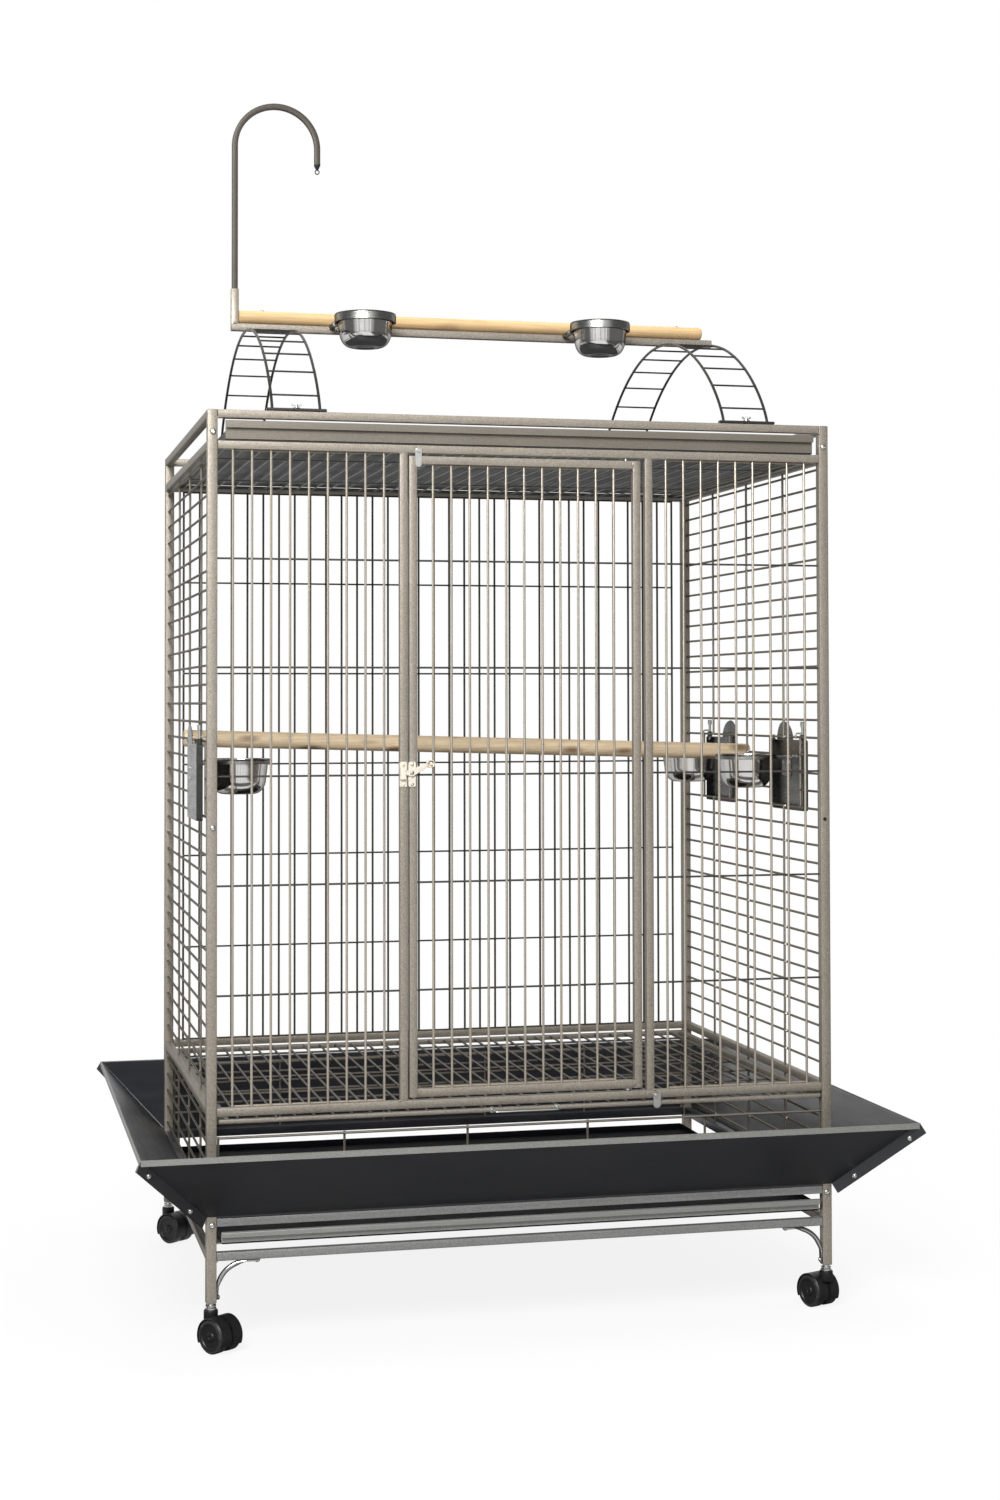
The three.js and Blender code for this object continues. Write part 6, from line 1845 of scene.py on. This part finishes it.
def lock_tab(name, body, hinge):
    """A turning tab with a round end, hanging from its bolt."""
    low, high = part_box(name)
    pivot = Vector(joint(hinge)["pos_m"])
    width = high.x - low.x
    shell, bolt = Shell(), Shell()
    foot = low.z - pivot.z + width / 2
    outline = arc((0, foot), width / 2, 180, 360, 12)
    top = high.z - pivot.z
    for side, first in ((1, 0), (-1, 90)):
        middle = (side * (width / 2 - TAB_CORNER), top - TAB_CORNER)
        outline += arc(middle, TAB_CORNER, first, first + 90, 4)
    back_y = -HALF_DEPTH - FIT_GAP
    shell.plate(outline, (pivot.x, back_y, pivot.z), X, Z, TAB_SHEET, 0.35 * MM)
    hex_nut(bolt, (pivot.x, back_y - TAB_SHEET, pivot.z), -Y, *TAB_NUT)
    bolt.rod((pivot.x, -HALF_DEPTH + TAB_BOLT_REACH, pivot.z),
             (pivot.x, back_y - TAB_BOLT_TIP, pivot.z), TAB_BOLT, 16)
    made(f"{name}_plate", shell, "zinc", [name], body=body)
    made(f"{name}_bolt", bolt, "zinc", body=body)


# Stage


PHOTO_SIZE = (1000, 1500)
FOCAL_PIXELS = 2318.92
AXIS_PIXEL = (527.34, 644.2)  # where the camera's axis meets the picture
CAMERA_PLACE = Vector((-0.8758, -3.95677, 0.98663))
CAMERA_YAW, CAMERA_PITCH, CAMERA_ROLL = 0.2398, 0.0254, -0.0021
SENSOR = 24.0


def camera():
    """The camera that took the photo."""
    data = bpy.data.cameras.new("photo camera")
    data.sensor_fit = "VERTICAL"
    data.sensor_height = SENSOR
    data.lens = SENSOR * FOCAL_PIXELS / PHOTO_SIZE[1]
    data.shift_x = (PHOTO_SIZE[0] / 2 - AXIS_PIXEL[0]) / PHOTO_SIZE[1]
    data.shift_y = (AXIS_PIXEL[1] - PHOTO_SIZE[1] / 2) / PHOTO_SIZE[1]
    data.clip_end = 60
    eye = linked("photo camera", data)
    turn = Matrix.Rotation(-CAMERA_YAW, 4, "Z")
    tilt = Matrix.Rotation(math.pi / 2 + CAMERA_PITCH, 4, "X")
    roll = Matrix.Rotation(CAMERA_ROLL, 4, "Z")
    eye.matrix_world = Matrix.Translation(CAMERA_PLACE) @ turn @ tilt @ roll
    bpy.context.scene.camera = eye


# What metal mirrors: x is east, y north and z up. Each pair is where a part begins and is whole.
ROOM_DIM = 0.15
BACKDROP_NORTH = (0.25, 0.65)
WINDOW_NORTH = (-0.3, -0.5)
WINDOW_WEST, WINDOW_EAST = (-0.9, -0.75), (0.5, 0.3)
WINDOW_SILL = (-0.45, -0.3)
BLINDS_STRETCH = (13.0, 13.0, 0.3)
BLINDS_EDGE, BLINDS_SHARE = (0.4, 0.46), 0.25
GROUND_EDGE, GROUND_SHARE = (-0.35, 0.0), 0.3


def world_light():
    """White to the camera all round. Metal mirrors the white behind the cage and a bright
    window with blinds in front of it, in a room that is otherwise dim."""
    world = bpy.data.worlds.new("studio")
    bpy.context.scene.world = world
    world.use_nodes = True
    world.node_tree.nodes.clear()
    tree = Tree(world.node_tree)
    path, mirrored = tree.rays()
    direction = tree.add("ShaderNodeTexCoord").outputs["Generated"]
    east, north, up = (tree.axes(direction)[axis] for axis in "XYZ")
    blinds = tree.noise(tree.stretched(direction, BLINDS_STRETCH), 1.0, 1)
    window = tree.ranged(blinds, *BLINDS_EDGE, BLINDS_SHARE)
    for along, edge in ((east, WINDOW_WEST), (east, WINDOW_EAST), (north, WINDOW_NORTH),
                        (up, WINDOW_SILL)):
        window = tree.times(window, tree.ranged(along, *edge))
    bright = tree.larger(tree.ranged(north, *BACKDROP_NORTH), window)
    room = tree.times(tree.ranged(bright, 0.0, 1.0, ROOM_DIM),
                      tree.ranged(up, *GROUND_EDGE, GROUND_SHARE))
    strength = tree.mix_values(mirrored, bpy.context.scene.cage_light.fill, room)
    seen = tree.mix_values(path["Is Camera Ray"], strength, 1.0)
    light = tree.add("ShaderNodeBackground", {"Color": (1, 1, 1, 1), "Strength": seen})
    tree.add("ShaderNodeOutputWorld", {"Surface": light.outputs["Background"]})


FLOOR_RADIUS = 9.0
FLOOR_SHEET = 4 * MM
FLOOR_DROP = 0.05 * MM  # below the wheels
FLOOR_FADE = (0.5, 1.7)
FLOOR_LIFT = 0.87
# Where the floor's mirror image is bright, by distance to the north and east of the middle
FLOOR_WINDOW = (-1.7, -2.2)
FLOOR_WINDOW_WEST, FLOOR_WINDOW_EAST = (-6.0, -5.0), (2.0, 1.2)
FLOOR_STRIP = ((-0.45, -0.62), (-1.1, -0.9))
FLOOR_NORTH, FLOOR_NORTH_SHARES = (-0.1, 0.3), (0.1, 0.8)
FLOOR_TONE, FLOOR_BOUNCE = (0.86, 0.86, 0.86, 1), (0.4, 0.4, 0.4, 1)


def floor():
    """A pale floor that keeps the shadow near the object and fades to the white around it."""
    shell = Shell()
    rim = round_section(2 * FLOOR_RADIUS, 96)
    shell.skin([[(u, v, z) for u, v in rim] for z in (-FLOOR_SHEET, -FLOOR_DROP)])
    mesh = bpy.data.meshes.new("floor")
    mesh.from_pydata(shell.points, [], shell.faces)
    material = bpy.data.materials.new("pale floor")
    material.use_nodes = True
    material.node_tree.nodes.clear()
    mesh.materials.append(material)
    tree = Tree(material.node_tree)
    place = tree.add("ShaderNodeTexCoord").outputs["Object"]
    distance = tree.add("ShaderNodeVectorMath", {0: place}, operation="LENGTH").outputs["Value"]
    far = tree.ranged(distance, *FLOOR_FADE, FLOOR_LIFT)
    east, north = (tree.axes(place)[axis] for axis in "XY")
    window = tree.times(tree.ranged(north, *FLOOR_WINDOW), tree.times(
        tree.ranged(east, *FLOOR_WINDOW_WEST), tree.ranged(east, *FLOOR_WINDOW_EAST)))
    strip = tree.times(*(tree.ranged(north, *edge) for edge in FLOOR_STRIP))
    image = tree.larger(tree.ranged(north, *FLOOR_NORTH, *FLOOR_NORTH_SHARES),
                        tree.larger(strip, window))
    path, mirrored = tree.rays()
    tone = tree.mix(path["Is Diffuse Ray"], FLOOR_TONE, FLOOR_BOUNCE)
    matte = tree.add("ShaderNodeBsdfDiffuse", {"Color": tone})
    white = tree.add("ShaderNodeEmission", {
        "Color": (1, 1, 1, 1), "Strength": tree.mix_values(mirrored, 1.0, image)})
    mixed = tree.add("ShaderNodeMixShader", {
        0: tree.times(far, tree.larger(path["Is Camera Ray"], mirrored)),
        1: matte.outputs["BSDF"], 2: white.outputs["Emission"]})
    tree.add("ShaderNodeOutputMaterial", {"Surface": mixed.outputs["Shader"]})
    linked("floor", mesh)


# Place, width in metres and power in watts of each lamp; metal mirrors the first one only
LAMPS = {
    "key softbox": ((-1.5, -3.3, 2.9), 1.6, 195),
    "side softbox": ((3.0, -1.6, 2.6), 1.8, 18),
    "top softbox": ((0.2, 0.2, 4.2), 2.4, 90),
    "back softbox": ((0.8, 3.4, 2.6), 2.4, 30),
}
LAMP_TARGET = Vector((0, 0, 0.9))


def lamps():
    """Square softboxes that face the cage."""
    for name, (place, width, power) in LAMPS.items():
        data = bpy.data.lights.new(name, "AREA")
        data.shape = "SQUARE"
        data.size = width
        data.energy = power * bpy.context.scene.cage_light.lamps
        lamp = linked(name, data)
        lamp.visible_glossy = name == "key softbox"
        facing = (LAMP_TARGET - Vector(place)).to_track_quat("-Z", "Y")
        lamp.matrix_world = Matrix.Translation(place) @ facing.to_matrix().to_4x4()


# Operators


class Build:
    """What all operators have in common."""
    bl_options = {"REGISTER", "UNDO"}


class CAGE_OT_stage(Build, bpy.types.Operator):
    """Camera, soft light, white surroundings and a pale floor"""
    bl_idname = "cage.stage"
    bl_label = "Stage"

    def execute(self, context):
        camera()
        world_light()
        floor()
        lamps()
        context.scene.view_settings.view_transform = "Standard"
        return {"FINISHED"}


class CAGE_OT_side_panels(Build, bpy.types.Operator):
    """Posts, rails, mesh, feeder openings and runners of both sides"""
    bl_idname = "cage.side_panels"
    bl_label = "Side panels"

    def execute(self, context):
        for side in SIDES:
            side_panel(side)
        return {"FINISHED"}


class CAGE_OT_front_and_back(Build, bpy.types.Operator):
    """Front and back panels, plain rails and guards"""
    bl_idname = "cage.front_and_back"
    bl_label = "Front and back"

    def execute(self, context):
        front_panel()
        back_panel()
        plain_rails()
        for where in ENDS:
            guard(where)
        return {"FINISHED"}


class CAGE_OT_roof(Build, bpy.types.Operator):
    """The sheet of bars over the cage"""
    bl_idname = "cage.roof"
    bl_label = "Roof grille"

    def execute(self, context):
        roof_grille()
        return {"FINISHED"}


class CAGE_OT_door(Build, bpy.types.Operator):
    """Door with its latch, keeper and lock tab"""
    bl_idname = "cage.door"
    bl_label = "Door and latch"

    def execute(self, context):
        door()
        latch_keeper()
        latch_plate()
        latch_lever()
        lock_tab("door_lock_tab", "door_lock", "door_lock_turn")
        return {"FINISHED"}


class CAGE_OT_grate(Build, bpy.types.Operator):
    """Slide-out grate with its handle and lock tab"""
    bl_idname = "cage.grate"
    bl_label = "Grate"

    def execute(self, context):
        grate()
        grate_handle()
        lock_tab("grate_lock_tab", "grate_lock", "grate_lock_turn")
        return {"FINISHED"}


class CAGE_OT_trays(Build, bpy.types.Operator):
    """Top tray and debris tray"""
    bl_idname = "cage.trays"
    bl_label = "Trays"

    def execute(self, context):
        for name, make in TRAYS.items():
            tray(name, *make)
        return {"FINISHED"}


class CAGE_OT_seed_guard(Build, bpy.types.Operator):
    """Four sloping aprons and their corner bolts"""
    bl_idname = "cage.seed_guard"
    bl_label = "Seed guard"

    def execute(self, context):
        for where in APRON_TURNS:
            apron(where)
        apron_bolts()
        return {"FINISHED"}


class CAGE_OT_stand(Build, bpy.types.Operator):
    """Braces, post bolts and casters"""
    bl_idname = "cage.stand"
    bl_label = "Stand"

    def execute(self, context):
        post_bolts()
        for end in ENDS:
            for side in SIDES:
                brace(f"{end}_{side}")
                caster(f"{end}_{side}")
        return {"FINISHED"}


class CAGE_OT_play_top(Build, bpy.types.Operator):
    """Ladders, play rail, hook, perch, rings and bowls on top"""
    bl_idname = "cage.play_top"
    bl_label = "Play top"

    def execute(self, context):
        play_rail()
        hook_tube()
        play_perch()
        for side in SIDES:
            ladder(side)
            play_ring(side)
            bowl(f"play_bowl_{side}", f"play_bowl_{side}")
        return {"FINISHED"}


class CAGE_OT_inner_perch(Build, bpy.types.Operator):
    """Long notched perch inside"""
    bl_idname = "cage.inner_perch"
    bl_label = "Inner perch"

    def execute(self, context):
        inner_perch()
        return {"FINISHED"}


class CAGE_OT_feeders(Build, bpy.types.Operator):
    """Three swing-out feeders with latches and bowls"""
    bl_idname = "cage.feeders"
    bl_label = "Feeders"

    def execute(self, context):
        for opening in FEEDERS:
            feeder(opening)
        return {"FINISHED"}


OPERATORS = (
    CAGE_OT_stage, CAGE_OT_side_panels, CAGE_OT_front_and_back, CAGE_OT_roof, CAGE_OT_door,
    CAGE_OT_grate, CAGE_OT_trays, CAGE_OT_seed_guard, CAGE_OT_stand, CAGE_OT_play_top,
    CAGE_OT_inner_perch, CAGE_OT_feeders)


class CAGE_PT_builder(bpy.types.Panel):
    """Buttons for every group of pieces, and the sizes and colours that they use"""
    bl_idname, bl_label = "CAGE_PT_builder", "Bird cage"
    bl_space_type, bl_region_type, bl_category = "VIEW_3D", "UI", "Cage"

    def draw(self, context):
        for group in (context.scene.cage_sizes, context.scene.cage_colours,
                      context.scene.cage_light):
            box = self.layout.box()
            for name in group.__annotations__:
                box.prop(group, name)
        for operator in OPERATORS:
            self.layout.operator(operator.bl_idname)


GROUPS = {"cage_sizes": CageSizes, "cage_colours": CageColours, "cage_light": CageLight}


def register():
    for group in GROUPS.values():
        bpy.utils.register_class(group)
    for name, group in GROUPS.items():
        setattr(bpy.types.Scene, name, PointerProperty(type=group))
    for operator in OPERATORS:
        bpy.utils.register_class(operator)
    bpy.utils.register_class(CAGE_PT_builder)


def unregister():
    bpy.utils.unregister_class(CAGE_PT_builder)
    for operator in OPERATORS:
        bpy.utils.unregister_class(operator)
    for name, group in GROUPS.items():
        delattr(bpy.types.Scene, name)
        bpy.utils.unregister_class(group)
    FINISHES.clear()


def main():
    register()
    for operator in OPERATORS:
        getattr(bpy.ops.cage, operator.bl_idname.split(".")[1])()
    bpy.context.view_layer.update()


if __name__ == "__main__":
    main()
